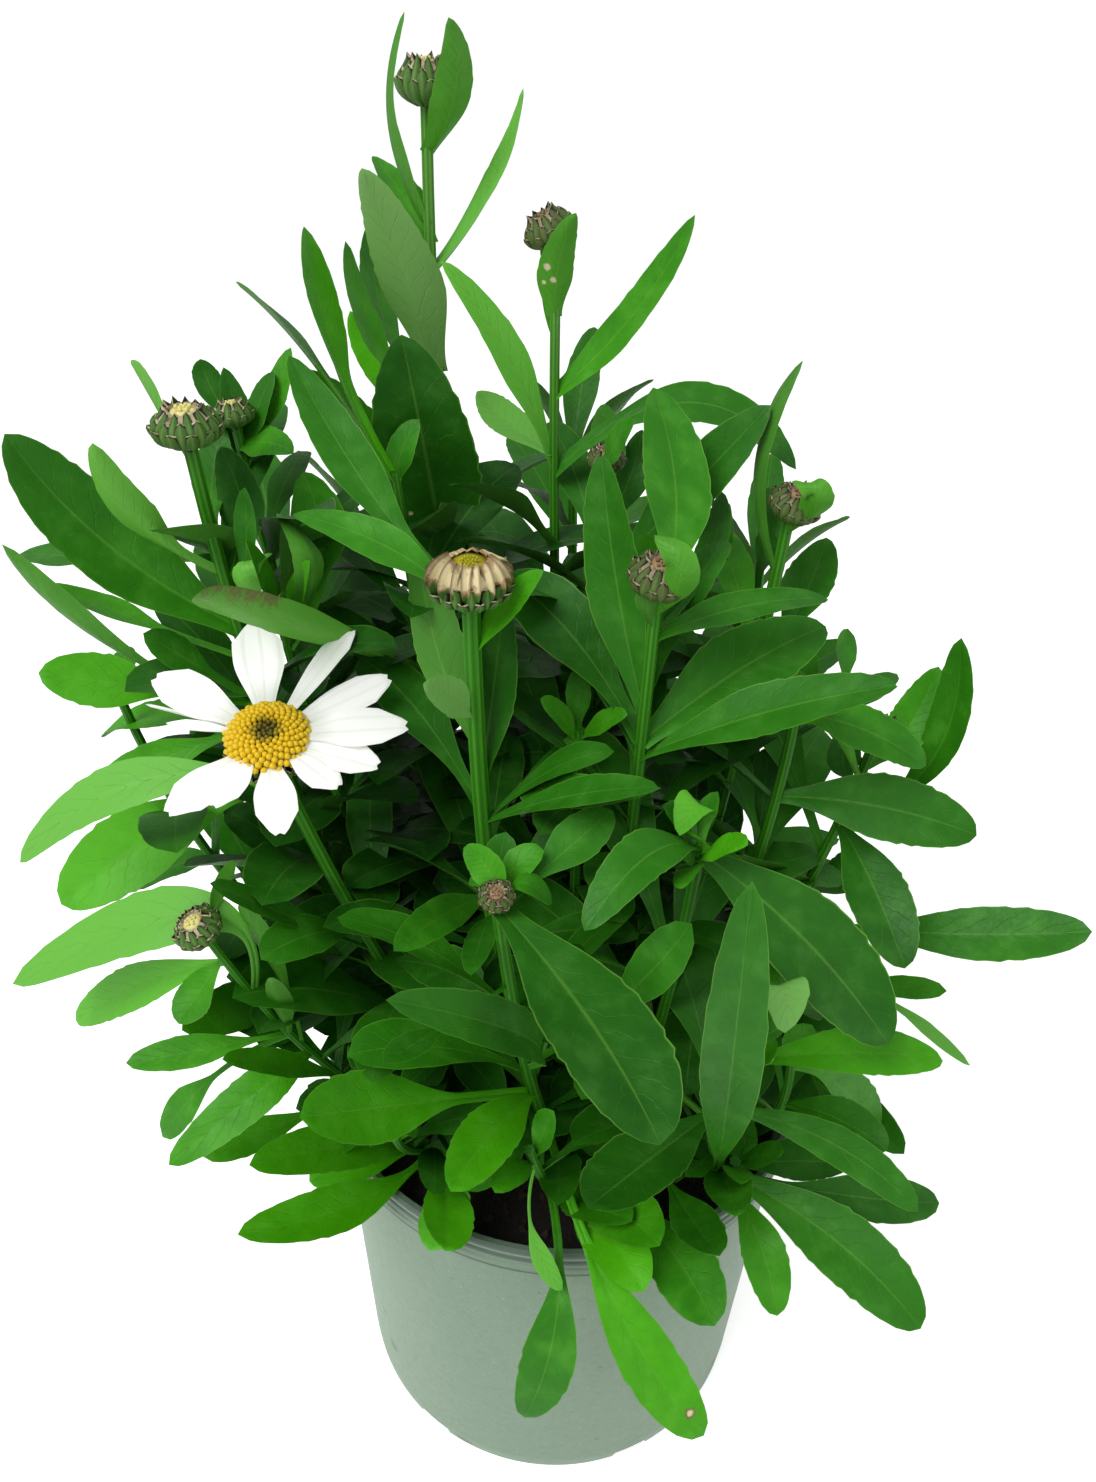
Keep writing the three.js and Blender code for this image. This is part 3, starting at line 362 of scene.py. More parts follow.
# Inner leaves by stem, where the usual does not do: highest root, step between roots, reach.
FILL = {
    "tall": (270, 5, 58), "back": (272, 5, 56), "left": (272, 4.6, 58), "cream": (232, 5, 54),
    "right": (258, 5, 54), "bloom": (190, 4.6, 52), "low_left": (168, 4.6, 44), "folded": (255, 5, 56),
    "crown_front": (190, 5, 46), "low_front": (140, 3, 40), "low_side": (140, 2.6, 40),
    "low_right": (146, 3.4, 42), "rosette_right": (136, 3, 42),
}

# Leaves that fold over a bud or roll up, and leaves that close gaps in the outline, in rows like LEAVES.
CURLS = {
    "folded": [(273, 21, -51, 289, 11, -41, 292, 7, 0, 0), (270, 9, -40, 279, 13, -38, 282, 5, 0, 0)],
    "right": [(281, 52, -21, 296, 42, -12, 295, 7, 0, 0)],
    "curl": [(253, -78, -35, 279, -69, -18, 277, 6, 20, 0), (253, -50, -35, 281, -69, -12, 284, 7, -20, 0)],
    "left": [(225, -108, 2, 231, -121, -4, 221, 14, 0, 0.1), (279, -87, 0, 288, -84, 6, 298, 9, 0, 0.1)],
    "brown_right": [
        (130, 75, -14, 121, 91, -42, 123, 14, -20, 0.1),
        (226, 82, -5, 227, 86, -2, 248, 11, -30, 0.1),
        (222, 63, -9, 219, 67, -3, 233, 9, 0, 0.1),
        (186, 71, -5, 178, 77, 2, 191, 11, 0, 0.1),
    ],
    "rosette_right": [(124, 58, -43, 121, 76, -45, 122, 12, -10, 0.1)],
    "back": [(291, -22, 25, 295, -28, 27, 303, 11, 20, 0.1)],
    "tall": [(296, -53, 33, 304, -59, 35, 319, 10, 30, 0.1)],
    "hidden": [(276, 11, 20, 284, 12, 24, 296, 9, -20, 0.1)],
    "back_left": [(296, -91, 18, 305, -91, 18, 310, 8, 0, 0.1)],
    "mid_right": [(196, 49, -1, 206, 50, 7, 219, 9, 0, 0.1)],
    "edge_left": [(178, -104, 6, 182, -119, -4, 173, 10, 10, 0.1)],
    "low_left": [(194, -84, -54, 187, -89, -62, 181, 11, 10, 0.1)],
    "coil": [(232, 25, -51, 246, 19, -62, 237, 9, 0, 0), (229, 27, -61, 234, 20, -60, 237, 3, 0, 0)],
    "fold_right": [(192, 39, -82, 231, 40, -86, 208, 10, 0, 0)],
    "low_side": [
        (112, -28, -66, 124, -28, -79, 128, 13, 20, 0.1),
        (113, -52, -48, 125, -66, -54, 119, 13, 10, 0.1),
    ],
    "low_front": [(112, 9, -66, 128, 19, -83, 121, 15, -8, 0.1), (112, 3, -63, 127, 16, -73, 133, 13, -8, 0)],
}

# How green the leaves of LEAVES and then CURLS are, in that order: 0 dark, 1 bright, up to 1.5 pale.
# Low tints are partly painted shade, high tints partly painted light, and tints over 0.95 a painted sheen.
LEAF_TINTS = {
    "tall": (0.25, 0.5, 0.7, 0.62, 1.35, 1.1, 0.6, 0.55, 0.72, 0.9),
    "back": (0.45, 1.0, 0.6, 0.55, 0.7, 1.15),
    "left": (1.05, 0.75, 0.55, 0.5, 0.85, 0.65, 0.45, 0.4, 0.35, 1.1, 0.45, 1.2, 0.9, 0.5),
    "cream": (0.5, 0.6, 0.42, 0.28, 0.34, 1.3, 0.7, 0.55, 0.4),
    "folded": (0.42, 0.5, 0.28, 0.42, 0.42, 0.6, 0.42, 0.55, 0.7, 0.55, 0.7, 0.4),
    "hidden": (0.45, 0.6, 0.7, 0.4),
    "right": (0.5, 0.5, 0.5, 0.7, 0.75),
    "bloom": (0.45, 1.06),
    "low_left": (0.75, 0.7, 0.7, 0.6, 0.5, 0.65, 0.7, 1.12, 1.12, 1.0, 0.55),
    "curl": (0.4, 0.5, 0.7, 0.65, 0.7, 1.05, 0.62),
    "edge_left": (0.7, 0.7, 0.5),
    "crown_front": (0.55, 0.8, 0.78, 0.8, 0.4, 0.5, 0.5, 0.6, 0.5, 0.6, 0.6, 0.7, 0.45, 0.3),
    "coil": (0.5, 0.5, 0.5, 0.6, 0.8, 0.45, 0.36, 0.95, 0.9),
    "fold_right": (0.42, 0.5, 0.5, 0.5, 0.75, 0.8, 1.15),
    "nest": (0.6, 0.7, 0.6, 0.45),
    "rosette_right": (0.5, 0.6, 0.38, 0.65, 0.5, 0.4, 0.5, 0.6, 0.55, 0.4),
    "brown_right": (0.65, 0.6, 0.52, 1.1, 0.4, 0.6, 1.0, 0.65, 0.55, 0.7, 0.4, 0.4),
    "mid_right": (0.35, 0.6, 0.5, 0.7, 0.5, 0.3),
    "mid_left": (1.1, 0.6, 0.8, 0.65),
    "low_front": (0.75, 0.45, 1.05, 0.7, 0.6, 0.9, 0.6),
    "low_side": (1.02, 0.75, 0.8, 0.8, 1.0, 0.85),
    "low_right": (0.6, 0.7, 0.65),
    "back_left": (0.4, 0.6, 0.4, 0.6, 0.4),
}

# A closed bud: stem, radius, height, lean of its axis x, y, z, how brown it is from 0 to 1.
BUDS = [
    ("tall", 6.2, 10, (0, -0.1, 1), 0.1),
    ("back", 5.4, 8, (-0.5, -0.2, 0.85), 0.75),
    ("left", 7.6, 9.5, (0, -0.16, 1), 0.1),
    ("folded", 6.8, 9, (0.1, -0.3, 0.95), 0.7),
    ("hidden", 4.4, 6.5, (0, -0.2, 1), 0.6),
    ("right", 6, 8, (0.2, -0.35, 0.9), 0.5),
    ("low_left", 5.5, 7.5, (-0.3, -0.35, 0.9), 0.15),
    ("brown_right", 5.4, 7.5, (0.2, -0.25, 0.95), 0.9),
    ("back_left", 4.8, 6.5, (-0.1, -0.1, 1), 0),
    ("crown_front", 3.6, 4.5, (0, -0.5, 0.86), 0.8),
]
CREAM_BUD = ("cream", 7.9, 10, (0, -0.16, 0.98), 0)

# The open flower: its axis, how deep its cup is, and rays as angle, reach, width, lift, turn.
FLOWER_AXIS = (0.06, -0.39, 0.92)
CUP_DEPTH = 6
DISC_RADIUS = 9.0
RAYS = [
    (-130, 26, 9, -1, -6),
    (-112, 20, 7, -0.5, 0),
    (-74, 23.5, 8.5, -1.5, 0),
    (-33, 20, 8, -1, 10),
    (-11, 24.5, 9, 0, 0),
    (11, 29.5, 10.5, 0, 4),
    (39, 30, 8.5, 1, -6),
    (66, 33, 8.5, 2, 24),
    (106, 33, 11, 1.5, 0),
    (155, 29.5, 9.5, 1, 6),
    (166, 28.5, 2.8, -0.5, -66),
    (176, 22, 2.4, -1, 62),
]

def paint(red, green, blue):
    """A colour as it looks on a screen, 0 to 255, as the linear colour that materials take."""
    values = [c / 255 for c in (red, green, blue)]
    return tuple(c / 12.92 if c <= 0.04045 else ((c + 0.055) / 1.055) ** 2.4 for c in values)


def colour(name, description, shade):
    return FloatVectorProperty(
        name=name, description=description, default=paint(*shade),
        size=3, min=0, max=1, subtype="COLOR")


def share(name, description, value):
    return FloatProperty(
        name=name, description=description, default=value, min=0, max=1, subtype="FACTOR")


def length(name, description, value):
    return FloatProperty(
        name=name, description=description, default=value, min=0, precision=4,
        subtype="DISTANCE", unit="LENGTH")


class LeafSettings(bpy.types.PropertyGroup):
    """Sizes and colours of the leaves and stalks."""
    thickness: length("Thickness", "Thickness of a leaf at its middle", 0.6 * MM)
    rib: length("Midrib", "How far the midrib stands out below", 0.7 * MM)
    tooth_depth: share("Tooth depth", "Depth of the edge's teeth, as a share of the half width", 0.034)
    wave: share("Wave", "Height of the edge's waves, as a share of the half width", 0.09)
    # deep is partly painted shade: leaves deep inside the shrub and the grooves of the stalks are painted
    # with it.
    deep: colour("Deep green", "Old leaves in the middle", (13, 64, 9))
    mid: colour("Mid green", "Most leaves", (45, 119, 15))
    bright: colour("Bright green", "Young leaves in the light", (82, 182, 4))
    pale: colour("Pale green", "Leaves that shine in the light", (128, 172, 102))
    under: colour("Underside", "The paler lower face", (92, 150, 58))
    rib_shade: colour("Rib", "Midribs and veins", (110, 164, 60))
    brown: colour("Brown edge", "Where an edge has dried", (112, 80, 62))
    tan: colour("Tan", "Dried spots where a leaf was bitten", (214, 196, 160))
    stalk_shade: colour("Stalk", "The ribbed stems", (52, 128, 14))
    fill_seed: IntProperty(name="Fill seed", description="Draw of the inner leaves", default=11)


class HeadSettings(bpy.types.PropertyGroup):
    """Sizes and colours of the buds."""
    rows: IntProperty(name="Rows", description="Rows of scales on a bud", default=3, min=1)
    scales: IntProperty(name="Scales", description="Scales in a row", default=10, min=3)
    scale_green: colour("Scale", "Middle of a scale", (66, 108, 40))
    scale_ridge: colour("Scale ridge", "Light along the middle of a scale", (112, 152, 76))
    scale_edge: colour("Scale edge", "Thin dark line inside the edge of a scale", (38, 26, 20))
    # Brown of browned scales, and also the painted shade where two curled petals meet.
    brown_and_seam_shade: colour("Scale dusk", "Scales that have browned", (86, 70, 50))
    tip_pale: colour("Pale edge", "Thin margin of a scale", (196, 184, 148))
    straw: colour("Straw", "Ragged tips in the middle of a bud", (226, 218, 140))
    cream: colour("Cream", "Curled petals of the opening bud", (220, 206, 160))
    cream_edge: colour("Tan", "Shaded parts of the curled petals", (160, 128, 88))
    heart: colour("Heart", "Middle of the opening bud", (176, 170, 20))


class FlowerSettings(bpy.types.PropertyGroup):
    """Sizes and colours of the open flower."""
    florets: IntProperty(name="Florets", description="Florets on the disc", default=210, min=10)
    white: colour("Petal white", "The rays", (250, 250, 247))
    petal_glow: FloatProperty(
        name="Petal glow", description="Light that comes through the thin rays", default=0.09, min=0)
    # Painted shade in the creases of the rays and near the disc.
    crease_shade: colour("Petal crease", "Creases along the rays", (196, 202, 190))
    yellow: colour("Floret yellow", "Open florets at the rim of the disc", (226, 190, 14))
    olive: colour("Floret olive", "Closed florets in the middle", (96, 86, 14))


class PotSettings(bpy.types.PropertyGroup):
    """Sizes and colours of the pot and its soil."""
    rim_radius: length("Rim radius", "Outer radius of the rim", (POT_HIGH.x - POT_LOW.x) / 2)
    height: length("Height", "Height of the pot", POT_HIGH.z)
    sides: IntProperty(name="Sides", description="Facets round the pot", default=144, min=24)
    plastic: colour("Plastic", "Moulded pot", (132, 155, 133))
    plastic_dark: colour("Plastic shade", "Scuffed patches", (124, 146, 126))
    # Pale specks in the plastic, and a painted reflection on the wall where it is seen at a low angle.
    speck_and_sheen: colour("Plastic light", "The wall seen at a low angle", (192, 212, 192))
    # Painted shade in the rim's grooves and along its band.
    rim_shade: colour("Rim shade", "Grooves and dusty bands of the rim", (78, 94, 84))
    dirt: colour("Dirt", "Splashed soil", (84, 66, 50))
    crumb_density: FloatProperty(
        name="Crumbs", description="Crumbs on a square metre of soil", default=150000, min=0)
    soil_dark: colour("Soil", "Damp potting mix", (20, 14, 10))
    soil_light: colour("Bark", "Dry bark and fibre", (46, 34, 24))


class StageSettings(bpy.types.PropertyGroup):
    """Light, floor and camera."""
    floor_shade: colour("Floor", "Plain pale floor", (250, 250, 250))
    key_power: FloatProperty(name="Key light", description="Power of the soft key", default=22, unit="POWER")
    fill_power: FloatProperty(name="Fill light", description="Power of the fill", default=4, unit="POWER")
    sky: FloatProperty(name="Sky", description="Strength of the white surroundings", default=0.5, min=0)
    floor_glow: FloatProperty(
        name="Floor glow", description="Light added to the floor as the camera sees it", default=0.56, min=0)
    camera_place: FloatVectorProperty(
        name="Camera", description="Place of the camera", default=(-8 * MM, -244 * MM, 362 * MM),
        size=3, subtype="TRANSLATION", unit="LENGTH")
    camera_dip: FloatProperty(
        name="Dip", description="How far the camera looks down", default=math.radians(29.8),
        subtype="ANGLE", unit="ROTATION")
    camera_roll: FloatProperty(
        name="Roll", description="How far the camera is turned about its view",
        default=math.radians(2), subtype="ANGLE", unit="ROTATION")
    lens: FloatProperty(name="Lens", description="Focal length", default=26.72, subtype="DISTANCE_CAMERA")


def formula(operation, swapped=False):
    """A method of Value that adds one math node, with the value itself second if swapped."""
    def method(self, other):
        pair = (other, self) if swapped else (self, other)
        return self.nodes.math(operation, *pair)
    return method


class Value:
    """A number that a tree works out. Formulas written with it add their math nodes."""
    __add__ = formula("ADD")
    __radd__ = formula("ADD", swapped=True)
    __sub__ = formula("SUBTRACT")
    __rsub__ = formula("SUBTRACT", swapped=True)
    __mul__ = formula("MULTIPLY")
    __truediv__ = formula("DIVIDE")
    __pow__ = formula("POWER")

    def __init__(self, nodes, socket):
        self.nodes = nodes
        self.socket = socket


class Nodes:
    """Adds nodes to one tree. Numbers come back as a Value, all else as the node's output."""

    def __init__(self, tree):
        self.tree = tree

    def plug(self, socket, value):
        if isinstance(value, Value):
            value = value.socket
        if isinstance(value, bpy.types.NodeSocket):
            self.tree.links.new(value, socket)
        else:
            socket.default_value = value

    def node(self, kind, inputs=None, **settings):
        node = self.tree.nodes.new(kind)
        for name, value in settings.items():
            setattr(node, name, value)
        for key, value in (inputs or {}).items():
            self.plug(node.inputs[key], value)
        return node

    def values(self, sockets):
        """The named outputs of a node, each as a Value."""
        return {socket.name: Value(self, socket) for socket in sockets if socket.name}

    def math(self, operation, *values, clamp=False):
        node = self.node("ShaderNodeMath", dict(enumerate(values)), operation=operation, use_clamp=clamp)
        return Value(self, node.outputs[0])

    def vector(self, operation, *values):
        node = self.node("ShaderNodeVectorMath", dict(enumerate(values)), operation=operation)
        return node.outputs["Value" if operation in ("DOT_PRODUCT", "LENGTH") else "Vector"]

    def scaled(self, vector, factor):
        return self.node("ShaderNodeVectorMath", {0: vector, "Scale": factor}, operation="SCALE").outputs[0]

    def total(self, first, *others):
        for other in others:
            first = self.vector("ADD", first, other)
        return first

    def fit(self, value, low, high, to_low=0.0, to_high=1.0, curve="LINEAR"):
        node = self.node(
            "ShaderNodeMapRange",
            {"Value": value, "From Min": low, "From Max": high, "To Min": to_low, "To Max": to_high},
            interpolation_type=curve)
        return Value(self, node.outputs[0])

    def split(self, vector):
        return [Value(self, part) for part in self.node("ShaderNodeSeparateXYZ", {0: vector}).outputs]

    def merge(self, x, y, z):
        return self.node("ShaderNodeCombineXYZ", {0: x, 1: y, 2: z}).outputs[0]

    def around(self, angle, radius, height):
        """The place at an angle round Z."""
        return self.merge(self.math("COSINE", angle) * radius, self.math("SINE", angle) * radius, height)

    def blend(self, factor, first, second):
        node = self.node("ShaderNodeMix", data_type="RGBA", blend_type="MIX")
        colours = [socket for socket in node.inputs if socket.type == "RGBA"]
        self.plug(node.inputs[0], factor)
        self.plug(colours[0], tint4(first))
        self.plug(colours[1], tint4(second))
        return next(socket for socket in node.outputs if socket.type == "RGBA")

    def layers(self, shade, *covers):
        """A colour with others laid over it, given as share and colour."""
        for factor, cover in covers:
            shade = self.blend(factor, shade, cover)
        return shade

    def noise(self, vector, scale, detail=3.0):
        inputs = {"Vector": vector, "Scale": scale, "Detail": detail, "Roughness": 0.55}
        return Value(self, self.node("ShaderNodeTexNoise", inputs).outputs[0])

    def place(self):
        """Where on the piece a material is read."""
        return self.node("ShaderNodeTexCoord").outputs["Object"]

    def ramp(self, value, *stops):
        """Colours along a value, as place and colour pairs."""
        node = self.node("ShaderNodeValToRGB", {0: value})
        bar = node.color_ramp.elements
        while len(bar) < len(stops):
            bar.new(1.0)
        for element, (place, shade) in zip(bar, stops):
            element.position = place
            element.color = tint4(shade)
        return node.outputs[0]

    def group(self, tree, **inputs):
        named = {title.replace("_", " ").title(): value for title, value in inputs.items()}
        return self.values(self.node("ShaderNodeGroup", named, node_tree=tree).outputs)

    def tint(self):
        return Value(self, self.node("ShaderNodeAttribute", attribute_name="tint").outputs["Fac"])

    def attribute(self, name, kind="FLOAT"):
        """What a point keeps under a name, in a tree for shapes."""
        socket = self.node("GeometryNodeInputNamedAttribute", {"Name": name}, data_type=kind).outputs[0]
        return Value(self, socket)

    def corner(self):
        """The three numbers of each point's place."""
        return self.split(self.node("GeometryNodeInputPosition").outputs[0])

    def store(self, geometry, title, value):
        """Geometry whose points keep a number under a name."""
        node = self.node(
            "GeometryNodeStoreNamedAttribute", {"Geometry": geometry, "Name": title, "Value": value},
            data_type="FLOAT", domain="POINT")
        return node.outputs[0]

    def moved(self, geometry, place):
        return self.node("GeometryNodeSetPosition", {"Geometry": geometry, "Position": place}).outputs[0]

    def copies(self, points, form, **how):
        """A form copied to each point, as faces of its own."""
        shape = self.node("GeometryNodeObjectInfo", {"Object": form}).outputs["Geometry"]
        placed = self.node("GeometryNodeInstanceOnPoints", {"Points": points, "Instance": shape, **how})
        return self.node("GeometryNodeRealizeInstances", {0: placed.outputs[0]}).outputs[0]

    def joined(self, first, second):
        node = self.node("GeometryNodeJoinGeometry", {0: first})
        self.plug(node.inputs[0], second)
        return node.outputs[0]

    def finish(self, result, geometry, material):
        """End a tree with its material."""
        inputs = {"Geometry": geometry, "Material": material}
        self.plug(result, self.node("GeometryNodeSetMaterial", inputs).outputs[0])


def tint4(value):
    """A linear colour with its alpha, or a socket as it is."""
    if isinstance(value, bpy.types.NodeSocket):
        return value
    return (*value[:3], 1.0)


def shape_tree(name, **takes):
    """A new Geometry Nodes tree with geometry in and out, and inputs named with their kind."""
    tree = bpy.data.node_groups.new(name, "GeometryNodeTree")
    tree.interface.new_socket(name="Geometry", in_out="INPUT", socket_type="NodeSocketGeometry")
    for title, kind in takes.items():
        title = title.replace("_", " ").title()
        tree.interface.new_socket(name=title, in_out="INPUT", socket_type=f"NodeSocket{kind}")
    tree.interface.new_socket(name="Geometry", in_out="OUTPUT", socket_type="NodeSocketGeometry")
    nodes = Nodes(tree)
    given = nodes.values(nodes.node("NodeGroupInput").outputs)
    result = nodes.node("NodeGroupOutput").inputs[0]
    return tree, nodes, given, result


def grow(name, mesh, tree, values):
    """Run a tree on a mesh, and keep what it makes as the plain mesh of a new object."""
    piece = bpy.data.objects.new(name, mesh)
    bpy.context.scene.collection.objects.link(piece)
    modifier = piece.modifiers.new(tree.name, "NODES")
    modifier.node_group = tree
    for item in tree.interface.items_tree:
        if item.in_out == "INPUT" and item.name in values:
            modifier[item.identifier] = values[item.name]
    return applied(piece)


def applied(piece):
    """Make what an object's modifiers show its plain mesh, and take the modifiers off."""
    graph = bpy.context.evaluated_depsgraph_get()
    made = bpy.data.meshes.new_from_object(
        piece.evaluated_get(graph), preserve_all_data_layers=True, depsgraph=graph)
    piece.modifiers.clear()
    piece.data = made
    made.name = piece.name
    return piece


def show(name, mesh, material):
    """A new object with that mesh and material."""
    piece = bpy.data.objects.new(name, mesh)
    bpy.context.scene.collection.objects.link(piece)
    mesh.materials.clear()
    mesh.materials.append(material)
    return piece


# Point attributes that only the trees need.
SCRATCH_LAYERS = {
    "root", "bend", "tip", "level", "width", "turn", "stalk", "phase", "cup", "tooth", "thick",
    "angle", "peak",
}


def settle(piece, slot, *nodes):
    """Fasten a finished piece to the one body, and hide the nodes it stands for. The slot is not used."""
    if not piece.data.polygons:
        raise RuntimeError(f"{piece.name} has no faces")
    for layer in [a.name for a in piece.data.attributes if a.name in SCRATCH_LAYERS]:
        piece.data.attributes.remove(piece.data.attributes[layer])
    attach(piece, "root")
    if nodes:
        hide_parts(*nodes)


def mesh_of(name, points, faces, layers=None, edges=()):
    """A mesh with point attributes, given as name: values, three numbers a point being a vector."""
    mesh = bpy.data.meshes.new(name)
    mesh.from_pydata([tuple(p) for p in points], list(edges), [tuple(f) for f in faces])
    for title, values in (layers or {}).items():
        values = np.asarray(values, np.float32)
        kind, field = ("FLOAT_VECTOR", "vector") if values.ndim == 2 else ("FLOAT", "value")
        mesh.attributes.new(title, kind, "POINT").data.foreach_set(field, values.ravel())
    return mesh


def form_object(mesh):
    """A form that trees copy. It is not part of the scene once the pieces are made."""
    form = bpy.data.objects.new(mesh.name, mesh)
    bpy.context.scene.collection.objects.link(form)
    form.hide_render = True
    return form


def clear_forms():
    for form in [o for o in bpy.data.objects if o.name.startswith("form_")]:
        bpy.data.objects.remove(form)


def face_out(mesh):
    """Turn the faces of a closed mesh outward."""
    work = bmesh.new()
    work.from_mesh(mesh)
    bmesh.ops.recalc_face_normals(work, faces=work.faces)
    work.to_mesh(mesh)
    work.free()


def blade_form(name, across, rows, pointed=True, notch=0.0, rounding=0.0):
    """A closed flat pillow with x across, y along and z telling its two faces apart.

    The upper face's UV runs from 0 to 1, and the lower face's has 2 added across."""
    tooth_rows = 3
    points, faces, corners, teeth, index = [], [], [], [], {}
    along = [i / rows for i in range(rows + 1)]

    def point(i, j, face):
        rim = i in (0, rows) or abs(across[j]) == 1
        key = ("tip",) if pointed and i == rows else (i, j, 0 if rim else face)
        if key not in index:
            x = 0 if key[0] == "tip" else across[j]
            nick = notch * (0.5 - 0.5 * math.cos(3 * math.pi * (x + 1))) + rounding * abs(x) ** 2.5
            index[key] = len(points)
            points.append((x, along[i] * (1 - nick * along[i] ** 2), 0 if rim else face))
            step = (i + (x > 0)) % tooth_rows
            teeth.append((step / (tooth_rows - 1) - 0.5) * (abs(x) == 1))
        return index[key]

    for face in (1, -1):
        for i in range(rows):
            for j in range(len(across) - 1):
                ring = [(i, j), (i, j + 1), (i + 1, j + 1), (i + 1, j)]
                if face < 0:
                    ring.reverse()
                keys, seen = [], []
                for a, b in ring:
                    k = point(a, b, face)
                    if k not in keys:
                        keys.append(k)
                        seen.append((across[b] / 2 + 0.5 + (2 if face < 0 else 0), along[a]))
                faces.append(keys)
                corners.extend(seen)
    mesh = mesh_of(name, points, faces, {"tooth": teeth})
    mesh.shade_smooth()
    layer = mesh.uv_layers.new(name="UVMap")
    layer.data.foreach_set("uv", np.array(corners, np.float32).ravel())
    sharp = mesh.attributes.new("sharp_edge", "BOOLEAN", "EDGE")
    rims = {k for key, k in index.items() if key[-1] == 0 or key[0] == "tip"}
    sharp.data.foreach_set("value", [e.vertices[0] in rims and e.vertices[1] in rims for e in mesh.edges])
    return form_object(mesh)


def leaf_outline(n, v):
    """Half width of a leaf along its blade, 0 at the foot and 1 at the tip."""
    peak = n.attribute("peak")
    foot = n.math("MULTIPLY_ADD", LOW_LEAF_PEAK - peak, 1.2, 0.16)
    swell = n.fit(v, 0, peak, foot, 1, "SMOOTHSTEP")
    fall = n.fit(v, peak, 1) ** n.math("MULTIPLY_ADD", peak, 2.0, 1.0)
    close = n.math("SUBTRACT", 1, fall, clamp=True) ** n.math("MULTIPLY_ADD", peak, -0.6, 0.9)
    return swell * close


def petal_outline(n, v):
    """Half width of a ray: a narrow foot, then nearly even to its rounded end."""
    return n.fit(v, 0, 0.55, 0.36, 1, "SMOOTHSTEP") - n.fit(v, 0.6, 1) ** 2 * 0.16


def blade_tree(name, outline):
    """Copies a flat form to each point and bends it to the point's root, bend and tip."""
    tree, n, given, result = shape_tree(
        name, form="Object", thickness="Float", midrib="Float", tooth_depth="Float", wave="Float",
        waves="Float", surface="Material")
    flat = n.copies(given["Geometry"], given["Form"])
    x, s, face = n.corner()
    root, bend, tip, level = [n.attribute(k, "FLOAT_VECTOR") for k in ("root", "bend", "tip", "level")]
    width, turn, stalk, phase, cup, tooth = [
        n.attribute(k) for k in ("width", "turn", "stalk", "phase", "cup", "tooth")]
    rest = 1 - s
    middle = n.total(n.scaled(root, rest * rest), n.scaled(bend, rest * s * 2), n.scaled(tip, s * s))
    slope = n.vector("NORMALIZE", n.total(
        n.scaled(n.vector("SUBTRACT", bend, root), rest),
        n.scaled(n.vector("SUBTRACT", tip, bend), s)))
    over = n.vector("NORMALIZE", n.vector(
        "SUBTRACT", level, n.scaled(slope, n.vector("DOT_PRODUCT", level, slope))))
    above = n.vector("CROSS_PRODUCT", over, slope)
    cosine, sine = n.math("COSINE", turn), n.math("SINE", turn)
    side = n.total(n.scaled(over, cosine), n.scaled(above, sine))
    normal = n.vector("SUBTRACT", n.scaled(above, cosine), n.scaled(over, sine))
    v = n.math("DIVIDE", s - stalk, 1 - stalk, clamp=True)
    off = n.math("ABSOLUTE", x)
    toothed = n.fit(v, 0.3, 0.5) * n.fit(v, 1, 0.9)
    shift = n.math("MULTIPLY_ADD", phase, 7, x * 4)
    uneven = n.fit(n.math("SINE", n.math("MULTIPLY_ADD", s, 23.0, shift)), -1, 1, 0.1, 1)
    nick = (tooth * toothed) * (uneven * given["Tooth Depth"])
    half = (width * 0.5) * outline(n, v) * (1 + nick)
    beat = n.math("SINE", s * given["Waves"] + (phase + x * 1.1))
    ripple = beat * given["Wave"] * n.fit(v, 0, 0.4)
    lift = half * off ** 1.5 * (cup + ripple)
    near = n.math("SUBTRACT", 1, off * 6, clamp=True)
    ridge = near * given["Midrib"] * n.fit(v, 0, 1, 1, 0.15) * n.fit(face, -1, 1, -1, -0.25)
    raised = lift + face * given["Thickness"] * 0.5 + ridge
    place = n.total(middle, n.scaled(side, x * half), n.scaled(normal, raised))
    n.finish(result, n.moved(flat, place), given["Surface"])
    return tree


@cache
def leaf_tree():
    return blade_tree("Leaf blades", leaf_outline)


@cache
def petal_tree():
    return blade_tree("Petals", petal_outline)


def stalk_tree():
    """Follows a line of points with a ribbed tube as thick as each point says."""
    tree, n, given, result = shape_tree(
        "Ribbed stalk", sides="Int", ribs="Float", rib_depth="Float", surface="Material")
    thick = n.attribute("thick")
    line = n.node("GeometryNodeMeshToCurve", {0: given["Geometry"]}).outputs[0]
    sized = n.node("GeometryNodeSetCurveRadius", {"Curve": line, "Radius": thick}).outputs[0]
    circle = {"Resolution": given["Sides"], "Radius": 1.0}
    ring = n.node("GeometryNodeCurvePrimitiveCircle", circle).outputs[0]
    x, y, z = n.corner()
    stripe = n.math("COSINE", n.math("ARCTAN2", y, x) * given["Ribs"])
    ring = n.store(ring, "tint", stripe)
    ribbed = n.moved(ring, n.scaled(n.merge(x, y, z), 1 + stripe * given["Rib Depth"]))
    tube = n.node("GeometryNodeCurveToMesh", {
        "Curve": sized, "Profile Curve": ribbed, "Scale": thick, "Fill Caps": True}).outputs[0]
    smooth = n.node("GeometryNodeSetShadeSmooth", {"Geometry": tube}).outputs[0]
    n.finish(result, smooth, given["Surface"])
    return tree


